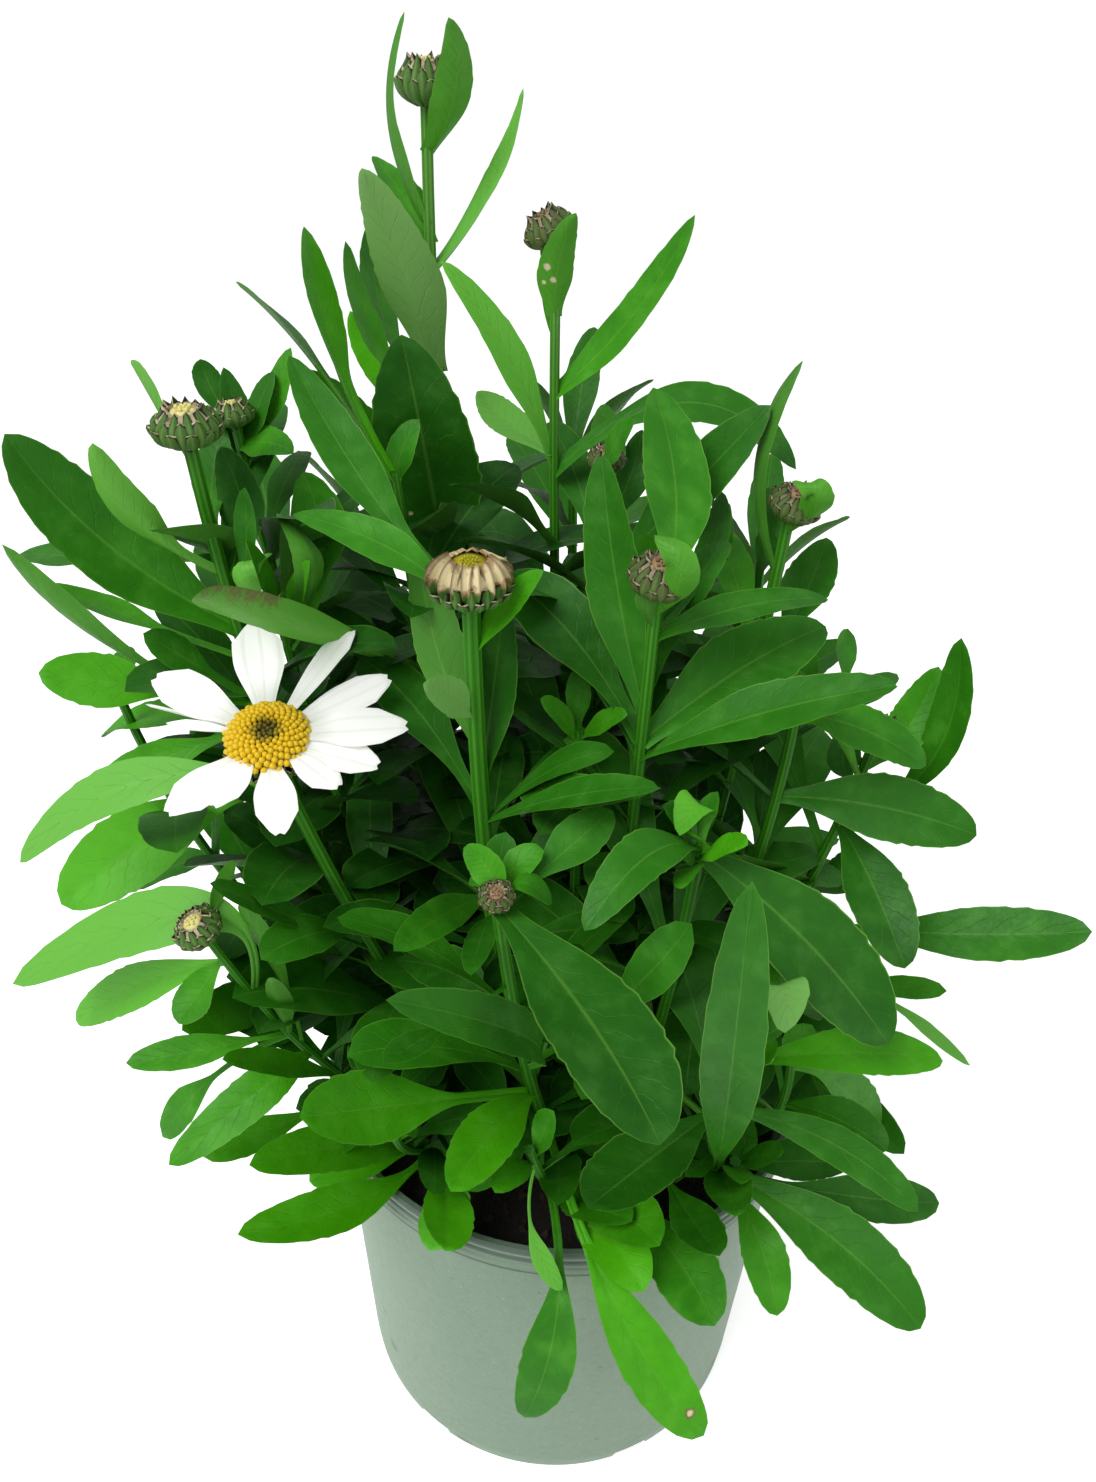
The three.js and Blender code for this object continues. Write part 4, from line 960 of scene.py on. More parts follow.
@cache
def scale_tree():
    """Rows of overlapping scales round an egg that stands on the origin."""
    tree, n, given, result = shape_tree(
        "Bud scales", form="Object", radius="Float", height="Float", rows="Int", scales="Int",
        open="Float", surface="Material")
    radius, scales = given["Radius"], given["Scales"]
    dots = n.node("GeometryNodePoints", {"Count": given["Rows"] * scales}).outputs[0]
    number = Value(n, n.node("GeometryNodeInputIndex").outputs[0])
    row = n.math("FLOOR", (number + 0.5) / scales)
    dots = n.store(dots, "angle", (number + row * 0.5) / scales * (2 * math.pi))
    dots = n.store(dots, "tint", row / (given["Rows"] - 1))
    flat = n.copies(dots, given["Form"])
    x, v, face = n.corner()
    angle, level = n.attribute("angle"), n.attribute("tint")
    wild = n.math("SINE", n.math("MULTIPLY_ADD", angle, 23.7, level))
    reach = n.fit(level, 0, 1, 0.6, 0.86) * n.math("MULTIPLY_ADD", wild, 0.05, 1)
    up = n.fit(level, 0, 1, 0.0, 0.16) + v * reach
    below = n.math("SUBTRACT", 1, up / 0.46, clamp=True)
    belly = n.math("SQRT", n.math("SUBTRACT", 1, below ** 2, clamp=True))
    close = n.fit(up, 0.5, 1.04, 1, given["Open"], "SMOOTHSTEP")
    girth = n.math("MAXIMUM", belly * close * radius, radius * 0.3)
    narrow = n.math("SQRT", n.math("SUBTRACT", 1, v ** 2.6, clamp=True))
    heading = angle + x * (narrow * (1.36 * math.pi) / scales)
    clear = (1.2 - level) * (radius * 0.07)
    curl = v ** 4 * (radius * n.fit(wild, -1, 1, 0.02, 0.14))
    fold = x * x * (radius * -0.2)
    out = (girth + clear) + (curl + fold + face * (SCALE_SKIN * MM))
    bent = n.moved(flat, n.around(heading, out, up * given["Height"]))
    n.finish(result, n.joined(bent, given["Geometry"]), given["Surface"])
    return tree


@cache
def floret_tree():
    """Florets in the spiral of a seed head, over a dome with a dimple."""
    tree, n, given, result = shape_tree(
        "Florets", form="Object", count="Int", radius="Float", height="Float", dimple="Float",
        size="Float", surface="Material")
    height, size = given["Height"], given["Size"]
    dots = n.node("GeometryNodePoints", {"Count": given["Count"]}).outputs[0]
    number = Value(n, n.node("GeometryNodeInputIndex").outputs[0]) + 0.5
    out = n.math("SQRT", number / given["Count"])
    angle = number * GOLDEN_ANGLE
    dots = n.store(dots, "tint", out)
    rise = height - out ** 4 * height - (1 - out) ** 2 * given["Dimple"]
    rise = rise + n.math("SINE", number * 37) * (size * 0.12)
    dots = n.moved(dots, n.around(angle, out * given["Radius"], rise))
    lean = out ** 3 * 0.9
    solid = n.copies(
        dots, given["Form"], Rotation=n.merge(0.0, lean, angle), Scale=size * n.fit(out, 0.2, 0.9, 0.62, 1))
    n.finish(result, n.joined(solid, given["Geometry"]), given["Surface"])
    return tree


def crumb_tree():
    """Crumbs of soil and bark strewn over a surface."""
    tree, n, given, result = shape_tree(
        "Soil crumbs", form="Object", density="Float", size="Float", seed="Int", surface="Material")
    strewn = n.node("GeometryNodeDistributePointsOnFaces", {
        "Mesh": given["Geometry"], "Density": given["Density"], "Seed": given["Seed"]}).outputs[0]
    draw = n.node("FunctionNodeRandomValue", {"Seed": given["Seed"]}, data_type="FLOAT")
    strewn = n.store(strewn, "tint", draw.outputs[1])
    size = given["Size"] * n.fit(n.attribute("tint") ** 4, 0, 1, 0.3, 1.2)
    spin = n.node("FunctionNodeRandomValue", {1: (6.3, 6.3, 6.3), "Seed": 3}, data_type="FLOAT_VECTOR")
    n.finish(result, n.copies(strewn, given["Form"], Rotation=spin.outputs[0], Scale=size), given["Surface"])
    return tree


def surface(name, roughness=0.5, specular=0.5):
    """A new material: its node helper and its Principled shader, with plain values set on it."""
    material = bpy.data.materials.new(name)
    material.use_nodes = True
    shader = next(k for k in material.node_tree.nodes if k.type == "BSDF_PRINCIPLED")
    shader.inputs["Roughness"].default_value = roughness
    shader.inputs["Specular IOR Level"].default_value = specular
    return material, Nodes(material.node_tree), shader


def cover(n, shader, shade, height, depth, strength=1.0):
    """Give a shader its colour and its fine relief, with the relief's depth in millimetres."""
    n.plug(shader.inputs["Base Color"], shade)
    inputs = {"Height": height, "Distance": depth * MM, "Strength": strength}
    n.plug(shader.inputs["Normal"], n.node("ShaderNodeBump", inputs).outputs[0])


def effect(name, takes, gives):
    """A shader node group with its named inputs, each with its usual value, and its outputs."""
    tree = bpy.data.node_groups.new(name, "ShaderNodeTree")
    for title, value in takes.items():
        socket = tree.interface.new_socket(name=title, in_out="INPUT", socket_type="NodeSocketFloat")
        socket.default_value = value
    for title in gives:
        tree.interface.new_socket(name=title, in_out="OUTPUT", socket_type="NodeSocketFloat")
    nodes = Nodes(tree)
    given = nodes.values(nodes.node("NodeGroupInput").outputs)
    return tree, nodes, given, nodes.node("NodeGroupOutput").inputs


@cache
def mottle():
    """Soft blotches and fine grain, read from where the surface is."""
    tree, n, given, result = effect("Mottle", {"Scale": 100.0, "Grain": 1200.0}, ("Blotch", "Grain"))
    place = n.place()
    n.plug(result["Blotch"], n.fit(n.noise(place, given["Scale"], 4.0), 0.3, 0.7))
    n.plug(result["Grain"], n.noise(place, given["Grain"], 2.0))
    return tree


@cache
def blade_lines():
    """The lines of a leaf or petal, read from its UV map: x across from edge to edge, y along."""
    tree, n, given, result = effect(
        "Blade lines", {"Rib Width": 0.06, "Veins": 9.0}, ("Under", "Rib", "Vein", "Edge", "Along", "Across"))
    u, v, _ = n.split(n.node("ShaderNodeUVMap", uv_map="UVMap").outputs[0])
    under = n.math("GREATER_THAN", u, 1.5)
    across = (u - under * 2) * 2 - 1
    off = n.math("ABSOLUTE", across)
    wobble = (n.noise(n.place(), 160.0) - 0.5) * 0.12
    thin = given["Rib Width"] * n.fit(v, 0, 1, 1.5, 0.35)
    beat = v - off ** 0.8 * 0.16 + wobble
    saw = n.math("PINGPONG", beat * given["Veins"], 0.5)
    lines = {
        "Under": under, "Rib": n.math("SUBTRACT", 1, off / thin, clamp=True),
        "Vein": n.fit(saw, 0.05, 0) * n.fit(off, 1, 0.55),
        "Edge": n.fit(off + wobble * 0.3, 0.955, 0.985), "Along": v, "Across": across}
    for title, value in lines.items():
        n.plug(result[title], value)
    return tree


# Marks on the leaves: place and reach.
BROWN_SPOTS = [
    ((-52, -12, 258), 4), ((-62, -48, 126), 3), ((31.2, -96.4, 95.5), 1.6), ((-66, -36, 278), 6.4),
    ((-69, -41, 281), 6.6), ((-70, -46, 284), 6.8), ((-71, -51, 287), 6.8), ((-72, -57, 289), 6.6),
    ((-72, -63, 290), 6),
]
TAN_SPOTS = [
    ((31.2, -96.4, 95.5), 1), ((-11.8, 11, 332.9), 0.9), ((-10.4, 11.6, 330.3), 0.8),
    ((-12.5, 12.3, 329.6), 0.7), ((-42.6, 10.7, 277.3), 0.8),
]
# Splashes on the pot's wall: place and reach.
DIRT_SPOTS = [((-50, -37.7, 21.8), 2.5), ((-53, -36, 36), 1.6), ((53, -33, 10), 3), ((-27, -56, 2), 3)]


def near_spots(n, spots, grain):
    """How near the surface is to any of the spots, from 0 away from all to 1 within."""
    place = n.place()
    near = 0.0
    for spot, reach in spots:
        far = Value(n, n.vector("LENGTH", n.vector("SUBTRACT", place, tuple(c * MM for c in spot))))
        far = far + (grain - 0.5) * (reach * MM)
        near = n.math("MAXIMUM", near, n.fit(far, reach * MM, 0.6 * reach * MM))
    return near


def leaf_surface(leaf):
    material, n, shader = surface("Leaf", specular=0.2)
    marks = n.group(blade_lines(), rib_width=0.06, veins=11.0)
    cloud = n.group(mottle(), scale=150.0, grain=900.0)
    blotch, grain, along, edge = cloud["Blotch"], cloud["Grain"], marks["Along"], marks["Edge"]
    tint = n.tint()
    lively = n.math("ADD", tint + (blotch - 0.5) * 0.15, n.fit(along, 0, 1, 0.06, -0.06), clamp=True)
    # Each leaf's green carries painted light: low tints are painted shade, and the pale blends above a tint
    # of 0.95 and in soft blotches are a painted sheen.
    green = n.layers(
        n.ramp(lively, (0.0, leaf.deep), (0.5, leaf.mid), (1.0, leaf.bright)),
        (n.fit(tint, 0.95, 1.4), leaf.pale),
        (n.fit(blotch, 0.5, 1, 0, 0.07), leaf.pale),
        (marks["Vein"] * 0.08, leaf.rib_shade),
        (marks["Under"] * 0.42, leaf.under),
        (marks["Rib"] * 0.36, leaf.rib_shade),
        (edge * 0.55, leaf.rib_shade),
        (n.fit(blotch, 0.78, 0.95) * n.fit(along, 0.7, 1) * edge, leaf.brown),
        (near_spots(n, BROWN_SPOTS, grain) * 0.75, leaf.brown),
        (near_spots(n, TAN_SPOTS, grain), leaf.tan))
    n.plug(shader.inputs["Roughness"], n.fit(grain, 0.3, 0.7, 0.38, 0.54))
    cover(n, shader, green, grain * 0.35 - marks["Vein"] * 0.3, 0.25, 0.8)
    return material


def stalk_surface(leaf):
    material, n, shader = surface("Stalk", specular=0.2)
    cloud = n.group(mottle(), scale=60.0, grain=700.0)
    young = n.fit(n.split(n.place())[2], 0.11, 0.33)
    # Painted shade: the deep green darkens the grooves between the ribs; the rib colour lightens the ribs.
    green = n.layers(
        n.ramp(young, (0.0, leaf.mid), (0.5, leaf.stalk_shade), (0.8, leaf.stalk_shade), (1.0, leaf.under)),
        (n.fit(n.tint(), 0.2, -1, 0, 0.55), leaf.deep),
        (n.fit(n.tint(), 0.3, 1, 0, 0.4), leaf.rib_shade),
        (cloud["Blotch"] * 0.25, leaf.mid))
    cover(n, shader, green, cloud["Grain"], 0.2, 0.5)
    return material


def scale_surface(name, head, brown):
    """Green scales with a light ridge, a dark line and a thin pale margin, more or less browned."""
    material, n, shader = surface(name, specular=0.2)
    marks = n.group(blade_lines(), rib_width=0.3, veins=1.0)
    cloud = n.group(mottle(), scale=300.0, grain=2500.0)
    blotch, along = cloud["Blotch"], marks["Along"]
    near = n.math("ABSOLUTE", marks["Across"]) + n.fit(along, 0.82, 1, 0, 0.5) + (blotch - 0.5) * 0.16
    dusk = n.fit(along, 0.2, 0.8, brown * 0.5, brown) * n.fit(blotch, 0, 1, 0.5, 1)
    margin = n.fit(near, 0.9, 0.97) * n.fit(blotch, 0.2, 0.6, 0.3, 0.95 - 0.6 * brown)
    shade = n.layers(
        head.scale_green, (marks["Rib"] * 0.5, head.scale_ridge), (dusk, head.brown_and_seam_shade),
        (n.fit(near, 0.52, 0.68), head.scale_edge), (margin, head.tip_pale))
    cover(n, shader, shade, cloud["Grain"], 0.15, 0.6)
    return material


def ramp_surface(name, *stops):
    """A finish whose colour follows the tint attribute of its copies."""
    material, n, shader = surface(name, 0.55)
    cloud = n.group(mottle(), scale=500.0, grain=3000.0)
    shade = n.ramp(n.tint() + (cloud["Blotch"] - 0.5) * 0.16, *stops)
    cover(n, shader, shade, cloud["Grain"], 0.12, 0.6)
    return material


def petal_surface(flower):
    """White rays with a painted glow for the light through them, and painted shade in the soft creases along
    them and near the disc.
    """
    material, n, shader = surface("White petal", 0.6, specular=0.3)
    # Painted glow: the emission stands in for light coming through the thin rays.
    shader.inputs["Emission Color"].default_value = (1, 1, 1, 1)
    shader.inputs["Emission Strength"].default_value = flower.petal_glow
    marks = n.group(blade_lines(), rib_width=0.1, veins=0.0)
    cloud = n.group(mottle(), scale=160.0, grain=1500.0)
    shaded_groove = n.fit(n.math("SINE", marks["Across"] * 9.0), 0.5, 1)
    # Painted shade: greyer in the creases and towards the disc, with faint grey blotches.
    shade = n.layers(
        flower.white, (shaded_groove * 0.22, flower.crease_shade), (cloud["Blotch"] * 0.05, flower.crease_shade),
        (n.fit(marks["Along"], 0.36, 0.16, 0, 0.7), flower.crease_shade))
    cover(n, shader, shade, shaded_groove * n.fit(marks["Along"], 1, 0.85), -0.2, 0.3)
    return material


def curl_surface(head):
    """Curled petals: green below, then tan, then cream over the top, with painted shade where two meet."""
    material, n, shader = surface("Curled petal", 0.55, specular=0.2)
    marks = n.group(blade_lines(), rib_width=0.1, veins=0.0)
    cloud = n.group(mottle(), scale=420.0, grain=2400.0)
    place = n.math("MULTIPLY_ADD", cloud["Blotch"] - 0.5, 0.22, marks["Along"])
    shade = n.ramp(
        place, (0.0, head.scale_green), (0.44, head.scale_green), (0.52, head.cream_edge),
        (0.6, head.cream), (0.86, head.cream), (1.0, head.cream_edge))
    off = n.math("ABSOLUTE", marks["Across"])
    # Painted shade where two curled petals meet.
    seam_shade = n.fit(off, 0.7, 0.95) * n.fit(place, 0.45, 0.65, 0.2, 0.75)
    cover(n, shader, n.blend(seam_shade, shade, head.brown_and_seam_shade), cloud["Grain"], 0.15, 0.6)
    return material


def plastic_surface(pot):
    """Scuffed plastic with splashes of soil and pale specks, painted shade in the grooves and bands of the
    rim, and a painted reflection where the wall is seen at a low angle.
    """
    material, n, shader = surface("Pot plastic", specular=0.4)
    cloud = n.group(mottle(), scale=22.0, grain=1600.0)
    fine = n.group(mottle(), scale=420.0, grain=260.0)
    height = n.split(n.place())[2]
    splash = n.fit(fine["Grain"], 0.68, 0.75) * n.fit(cloud["Blotch"], 0.5, 0.8)
    splash = splash * n.fit(height, 0.0, 0.12, 0.25, 1)
    splash = n.math("MAXIMUM", splash, near_spots(n, DIRT_SPOTS, fine["Blotch"]))
    # Painted shade on the rim band: darker stripes in and between its grooves. plastic_dark also gives real
    # scuffed patches.
    shaded_groove, scuffed_and_shaded = pot.rim_shade, pot.plastic_dark
    band = n.ramp(
        n.fit(height, 0.1055, 0.1155), (0.0, shaded_groove), (0.14, shaded_groove), (0.2, scuffed_and_shaded), (0.48, scuffed_and_shaded),
        (0.56, shaded_groove), (0.62, shaded_groove), (0.68, scuffed_and_shaded), (0.76, pot.plastic), (0.82, shaded_groove),
        (0.94, shaded_groove), (1.0, pot.plastic))
    # Painted reflection: the wall lightens where it is seen at a low angle.
    grazing = n.node("ShaderNodeLayerWeight", {"Blend": 0.35}).outputs["Facing"]
    shade = n.layers(
        pot.plastic, (cloud["Blotch"] * 0.45, scuffed_and_shaded), (n.fit(fine["Blotch"], 0.55, 0.9) * 0.3, scuffed_and_shaded),
        (splash * 0.7, pot.dirt), (n.fit(cloud["Grain"], 0.36, 0.3) * 0.3, pot.speck_and_sheen),
        (n.fit(height, 0.1056, 0.1062, 0, 0.9), band), (n.fit(grazing, 0.45, 1, 0, 0.55), pot.speck_and_sheen))
    n.plug(shader.inputs["Roughness"], n.fit(fine["Blotch"], 0, 1, 0.45, 0.62))
    cover(n, shader, shade, cloud["Grain"], 0.12, 0.5)
    return material


def soil_surface(pot):
    material, n, shader = surface("Soil", 0.95)
    cloud = n.group(mottle(), scale=380.0, grain=1800.0)
    pick = n.tint() ** 6 * 0.8 + cloud["Blotch"] * 0.2
    cover(n, shader, n.ramp(pick, (0.0, pot.soil_dark), (1.0, pot.soil_light)), cloud["Grain"], 0.5)
    return material


def stem_curve(name):
    row = np.array(STEMS[name], float)
    foot = np.array((row[0], row[1], STEM_RISE))
    return foot, row[2:5], row[5:8], row[8]


def along_curve(first, bend, last, u):
    u = np.asarray(u, float)[..., None]
    return first * (1 - u) ** 2 + bend * 2 * u * (1 - u) + last * u * u


def stem_point(name, height):
    """Where a stem passes a height."""
    first, bend, last, _ = stem_curve(name)
    line = along_curve(first, bend, last, np.linspace(0, 1, STEM_STEPS))
    return line[min(int(np.searchsorted(line[:, 2], height)), STEM_STEPS - 1)]


def stalk_line(name):
    """The middle line of a stem, straight where it stands in the soil, with its thickness."""
    first, bend, last, radius = stem_curve(name)
    u = np.linspace(0, 1, 22)
    foot = first.copy()
    foot[2] = STEM_FOOT
    points = np.vstack((foot, along_curve(first, bend, last, u)))
    thick = radius * (1.12 - 0.2 * np.concatenate(([0], u)))
    edges = [(i, i + 1) for i in range(len(points) - 1)]
    return mesh_of(f"line_{name}", points * MM, [], {"thick": thick * MM}, edges)


def leaf_peak(height):
    """Where along its blade a leaf is widest: nearer its foot the higher it grows."""
    return LOW_LEAF_PEAK - 0.22 * np.clip((height - 200) / 120, 0, 1)


def fill_rows(name, draw, eye):
    """Inner leaves in a spiral up a stem, for what the listed rows leave open."""
    last = stem_curve(name)[2]
    top, step, reach = FILL.get(name, (last[2] - 22, 4.6, 58))
    rows = []
    turn = draw.random() * 2 * math.pi
    height = SOIL_LEVEL + 4
    while height < top:
        root = stem_point(name, height)
        out = np.array((math.cos(turn), math.sin(turn), 0))
        share_up = (height - SOIL_LEVEL) / (last[2] - SOIL_LEVEL)
        low = max(0, 1 - (height - SOIL_LEVEL) / 30)
        far = reach * (0.72 + 0.5 * draw.random()) * (1 - 0.3 * share_up) * (1 - 0.25 * low)
        rise = 0.35 + 0.6 * draw.random() + 0.35 * share_up
        middle = root + far * (0.46 * out + 0.58 * rise * UP)
        tip = root + far * (0.9 * out + (0.8 * rise - 0.16) * UP)
        width = far * (0.26 + 0.09 * draw.random())
        if in_hull(tip) and in_hull(middle) and clear_of_heads(middle, tip, eye):
            rows.append((height, *middle, *tip, width, 50 * (draw.random() - 0.5), 0.12))
        turn += GOLDEN_ANGLE
        height += step * (0.7 + 0.6 * draw.random()) * (1 - 0.4 * low)
    return rows


def hull_share(point):
    """How far out a point is in the shrub's rounded outline: 0 in its middle, 1 at its edge."""
    x, y, z = point
    levels = (112, 150, 185, 220, 250, 285, 312)
    middle = np.interp(z, levels, (-8, -12, -26, -24, -36, -38, -36))
    half = np.interp(z, levels, (84, 104, 100, 94, 84, 74, 40))
    return np.hypot((x - middle) / half, (y - 4) / (0.8 * half))


def in_hull(point):
    """Whether a point is inside the shrub and clear of the pot's rim."""
    x, y, z = point
    over_rim = z < 119 and math.hypot(x, y) > 60
    return z > 108 and not over_rim and hull_share(point) < 1


def clear_of_heads(middle, tip, eye):
    """Whether a leaf stays out of the space in front of the flower and the buds."""
    for head, room in open_places():
        sight = eye - head
        far = np.linalg.norm(sight)
        for point in (middle, 0.5 * (middle + tip), tip):
            along = (point - head) @ sight / far
            if along > -4 and np.linalg.norm(point - head - sight * along / far) < room:
                return False
    return True


@cache
def open_places():
    """The heads, and the bare stem below the cream bud, each with the room it needs."""
    flower, axis = head_place("bloom", FLOWER_AXIS)
    places = [(flower + axis * CUP_DEPTH, 32)]
    for stem, radius, height, lean, _ in [*BUDS, CREAM_BUD]:
        place, axis = head_place(stem, lean)
        places.append((place + axis * height / 2, radius + 8))
    return places + [(stem_point("cream", height), 11) for height in range(200, 275, 12)]


def blade_points(name, roots, rows, draw, tints, cups, peaks):
    """Points that carry a blade each, with what the tree needs to bend it."""
    rows = np.array(rows, float)
    bends, tips = rows[:, 0:3], rows[:, 3:6]
    heading = tips - roots
    heading[:, 2] = 0
    size = np.linalg.norm(heading, axis=1)[:, None]
    heading = np.where(size < 0.5, np.array((0.0, -1.0, 0.0)), heading / np.maximum(size, 1e-6))
    count = len(rows)
    return mesh_of(name, np.zeros((count, 3)), [], {
        "root": roots * MM, "bend": bends * MM, "tip": tips * MM, "level": np.cross(heading, UP),
        "width": rows[:, 6] * MM, "turn": np.radians(rows[:, 7]), "stalk": rows[:, 8],
        "phase": draw.random(count) * 6.3, "cup": cups, "tint": tints, "peak": peaks})


def directions(angles):
    """Level directions at angles round Z, a row each."""
    return np.stack((np.cos(angles), np.sin(angles), np.zeros(len(angles))), axis=1)


def turned(name, outline, sides, shape=None):
    """A closed solid of revolution from radius and height pairs that start and end on the axis."""
    rings = outline[1:-1]
    points, faces = [(0, 0, outline[0][1])], []
    for row, (radius, height) in enumerate(rings):
        for k in range(sides):
            angle = 2 * math.pi * k / sides
            r, z = shape(radius, height, angle, row) if shape else (radius, height)
            points.append((r * math.cos(angle), r * math.sin(angle), z))
    points.append((0, 0, outline[-1][1]))
    last = len(points) - 1
    for k in range(sides):
        n = (k + 1) % sides
        faces.append((0, 1 + n, 1 + k))
        for row in range(len(rings) - 1):
            a, b = 1 + row * sides + k, 1 + row * sides + n
            faces.append((a, b, b + sides, a + sides))
        end = 1 + (len(rings) - 1) * sides
        faces.append((last, end + k, end + n))
    mesh = mesh_of(name, points, faces)
    face_out(mesh)
    mesh.shade_smooth()
    return mesh


def head_place(stem, axis):
    """The point a bud stands on: just clear of its stem's tip."""
    _, bend, last, radius = stem_curve(stem)
    axis = np.array(axis, float)
    axis /= np.linalg.norm(axis)
    slope = (last - bend) / np.linalg.norm(last - bend)
    lean = math.sqrt(max(0, 1 - float(axis @ slope) ** 2))
    return last + axis * lean * 0.5 * radius, axis


def seat(piece, place, axis, slot, *nodes):
    """Stand a piece made about Z on a place in millimetres, its Z along an axis, and settle it."""
    turn = Vector((0, 0, 1)).rotation_difference(Vector(axis)).to_matrix().to_4x4()
    piece.data.transform(Matrix.Translation(Vector(place) * MM) @ turn)
    settle(piece, slot, *nodes)


def egg(name, radius, height, well):
    """The core of a bud: an egg with a hollow top."""
    rings = [
        (0.3, 0.0), (0.8, 0.14), (0.97, 0.34), (0.97, 0.5), (0.86, 0.72), (well + 0.06, 0.92), (well, 0.8)]
    outline = [(0, 0.0), *[(r * radius, z * height) for r, z in rings], (0, 0.8 * height)]
    return turned(name, outline, 24)


def dome(name, outline, sides):
    """A plain core for florets, with the tint that their finish reads."""
    mesh = turned(name, outline, sides)
    mesh.attributes.new("tint", "FLOAT", "POINT")
    return mesh


@cache
def scale_form():
    return blade_form("form_scale", (-1, -0.6, 0, 0.6, 1), 7)


@cache
def floret_form():
    """A small closed floret bud of a few faces."""
    outline = [(0, -0.6), (0.34, -0.5), (0.46, 0.1), (0.3, 0.52), (0, 0.62)]
    return form_object(turned("form_floret", outline, 6))


def crumb_form():
    mesh = bpy.data.meshes.new("form_crumb")
    ball = bmesh.new()
    bmesh.ops.create_icosphere(ball, subdivisions=1, radius=1.0)
    for k, corner in enumerate(ball.verts):
        corner.co *= (1 + 0.35 * math.sin(5 * k), 0.8 + 0.2 * math.cos(3 * k), 0.6)[k % 3]
    ball.to_mesh(mesh)
    ball.free()
    face_out(mesh)
    return form_object(mesh)


def scale_cup(core, radius, height, rows, scales, opening, finish):
    """Rows of scales round a core."""
    return grow(core.name, core, scale_tree(), {
        "Form": scale_form(), "Radius": radius, "Height": height, "Rows": rows, "Scales": scales,
        "Open": opening, "Surface": finish})


def floret_dome(core, count, radius, height, dimple, size, finish):
    """Florets over a core."""
    return grow(core.name, core, floret_tree(), {
        "Form": floret_form(), "Count": count, "Radius": radius, "Height": height, "Dimple": dimple,
        "Size": size, "Surface": finish})


def petal_ring(points, form, wave, waves, finish):
    """A petal at each point."""
    return grow(points.name, points, petal_tree(), {
        "Form": form, "Thickness": 0.5 * MM, "Midrib": 0.0, "Tooth Depth": 0.0, "Wave": wave,
        "Waves": waves, "Surface": finish})


def notch_cutter(base):
    """Six wedges under the foot of the wall."""
    points, faces = [], []
    for k in range(6):
        angle = 2 * math.pi * (k + 0.4) / 6 - math.pi / 2
        out = np.array((math.cos(angle), math.sin(angle), 0))
        side = np.array((-out[1], out[0], 0))
        start = len(points)
        for radius in (base - 4.5, base + 3):
            for across, height in ((-7, -1), (7, -1), (5, 3), (-5, 3)):
                points.append((out * radius + side * across + UP * height) * MM)
        ring = [start, start + 1, start + 2, start + 3]
        faces.append(tuple(ring))
        faces.append(tuple(i + 4 for i in reversed(ring)))
        for i in range(4):
            a, b = ring[i], ring[(i + 1) % 4]
            faces.append((b, a, a + 4, b + 4))
    mesh = mesh_of("form_notches", points, faces)
    face_out(mesh)
    return form_object(mesh)


def add_lamp(context, name, power, size, place):
    """A soft square lamp that looks at the plant."""
    light = bpy.data.lights.new(name, "AREA")
    light.energy = power
    light.size = size
    lamp = bpy.data.objects.new(name, light)
    lamp.location = place
    aim = Vector((0, 0, 0.2)) - Vector(place)
    lamp.rotation_euler = aim.to_track_quat("-Z", "Y").to_euler()
    context.scene.collection.objects.link(lamp)


class DAISY_OT_stage(bpy.types.Operator):
    """Add the floor, the soft lights and the camera"""
    bl_idname = "daisy.stage"
    bl_label = "Stage"

    def execute(self, context):
        scene = context.scene
        stage = scene.daisy_stage
        half = 4.0
        corners = [(-half, -half, 0), (half, -half, 0), (half, half, 0), (-half, half, 0)]
        material, nodes, shader = surface("Floor", 0.9)
        shader.inputs["Base Color"].default_value = tint4(stage.floor_shade)
        shader.inputs["Emission Color"].default_value = (1, 1, 1, 1)
        seen = nodes.node("ShaderNodeLightPath").outputs["Is Camera Ray"]
        nodes.plug(shader.inputs["Emission Strength"], nodes.math("MULTIPLY", seen, stage.floor_glow))
        show("floor", mesh_of("floor", corners, [(0, 1, 2, 3)]), material)
        add_lamp(context, "key", stage.key_power, 1.0, (-0.8, -0.9, 1.5))
        add_lamp(context, "fill", stage.fill_power, 1.4, (1.3, -0.8, 0.9))
        world = bpy.data.worlds.new("White surroundings")
        world.use_nodes = True
        sky = next(k for k in world.node_tree.nodes if k.type == "BACKGROUND")
        sky.inputs["Color"].default_value = (1, 1, 1, 1)
        air = Nodes(world.node_tree)
        seen = air.node("ShaderNodeLightPath").outputs["Is Camera Ray"]
        air.plug(sky.inputs["Strength"], air.fit(seen, 0, 1, stage.sky, 1.05))
        scene.world = world
        scene.view_settings.view_transform = "Standard"
        eye = bpy.data.cameras.new("camera")
        eye.lens = stage.lens
        camera = bpy.data.objects.new("camera", eye)
        camera.rotation_mode = "QUATERNION"
        dip = Matrix.Rotation(math.pi / 2 - stage.camera_dip, 4, "X")
        roll = Matrix.Rotation(stage.camera_roll, 4, "Z")
        camera.matrix_world = Matrix.Translation(Vector(stage.camera_place)) @ (dip @ roll)
        scene.collection.objects.link(camera)
        scene.camera = camera
        return {"FINISHED"}


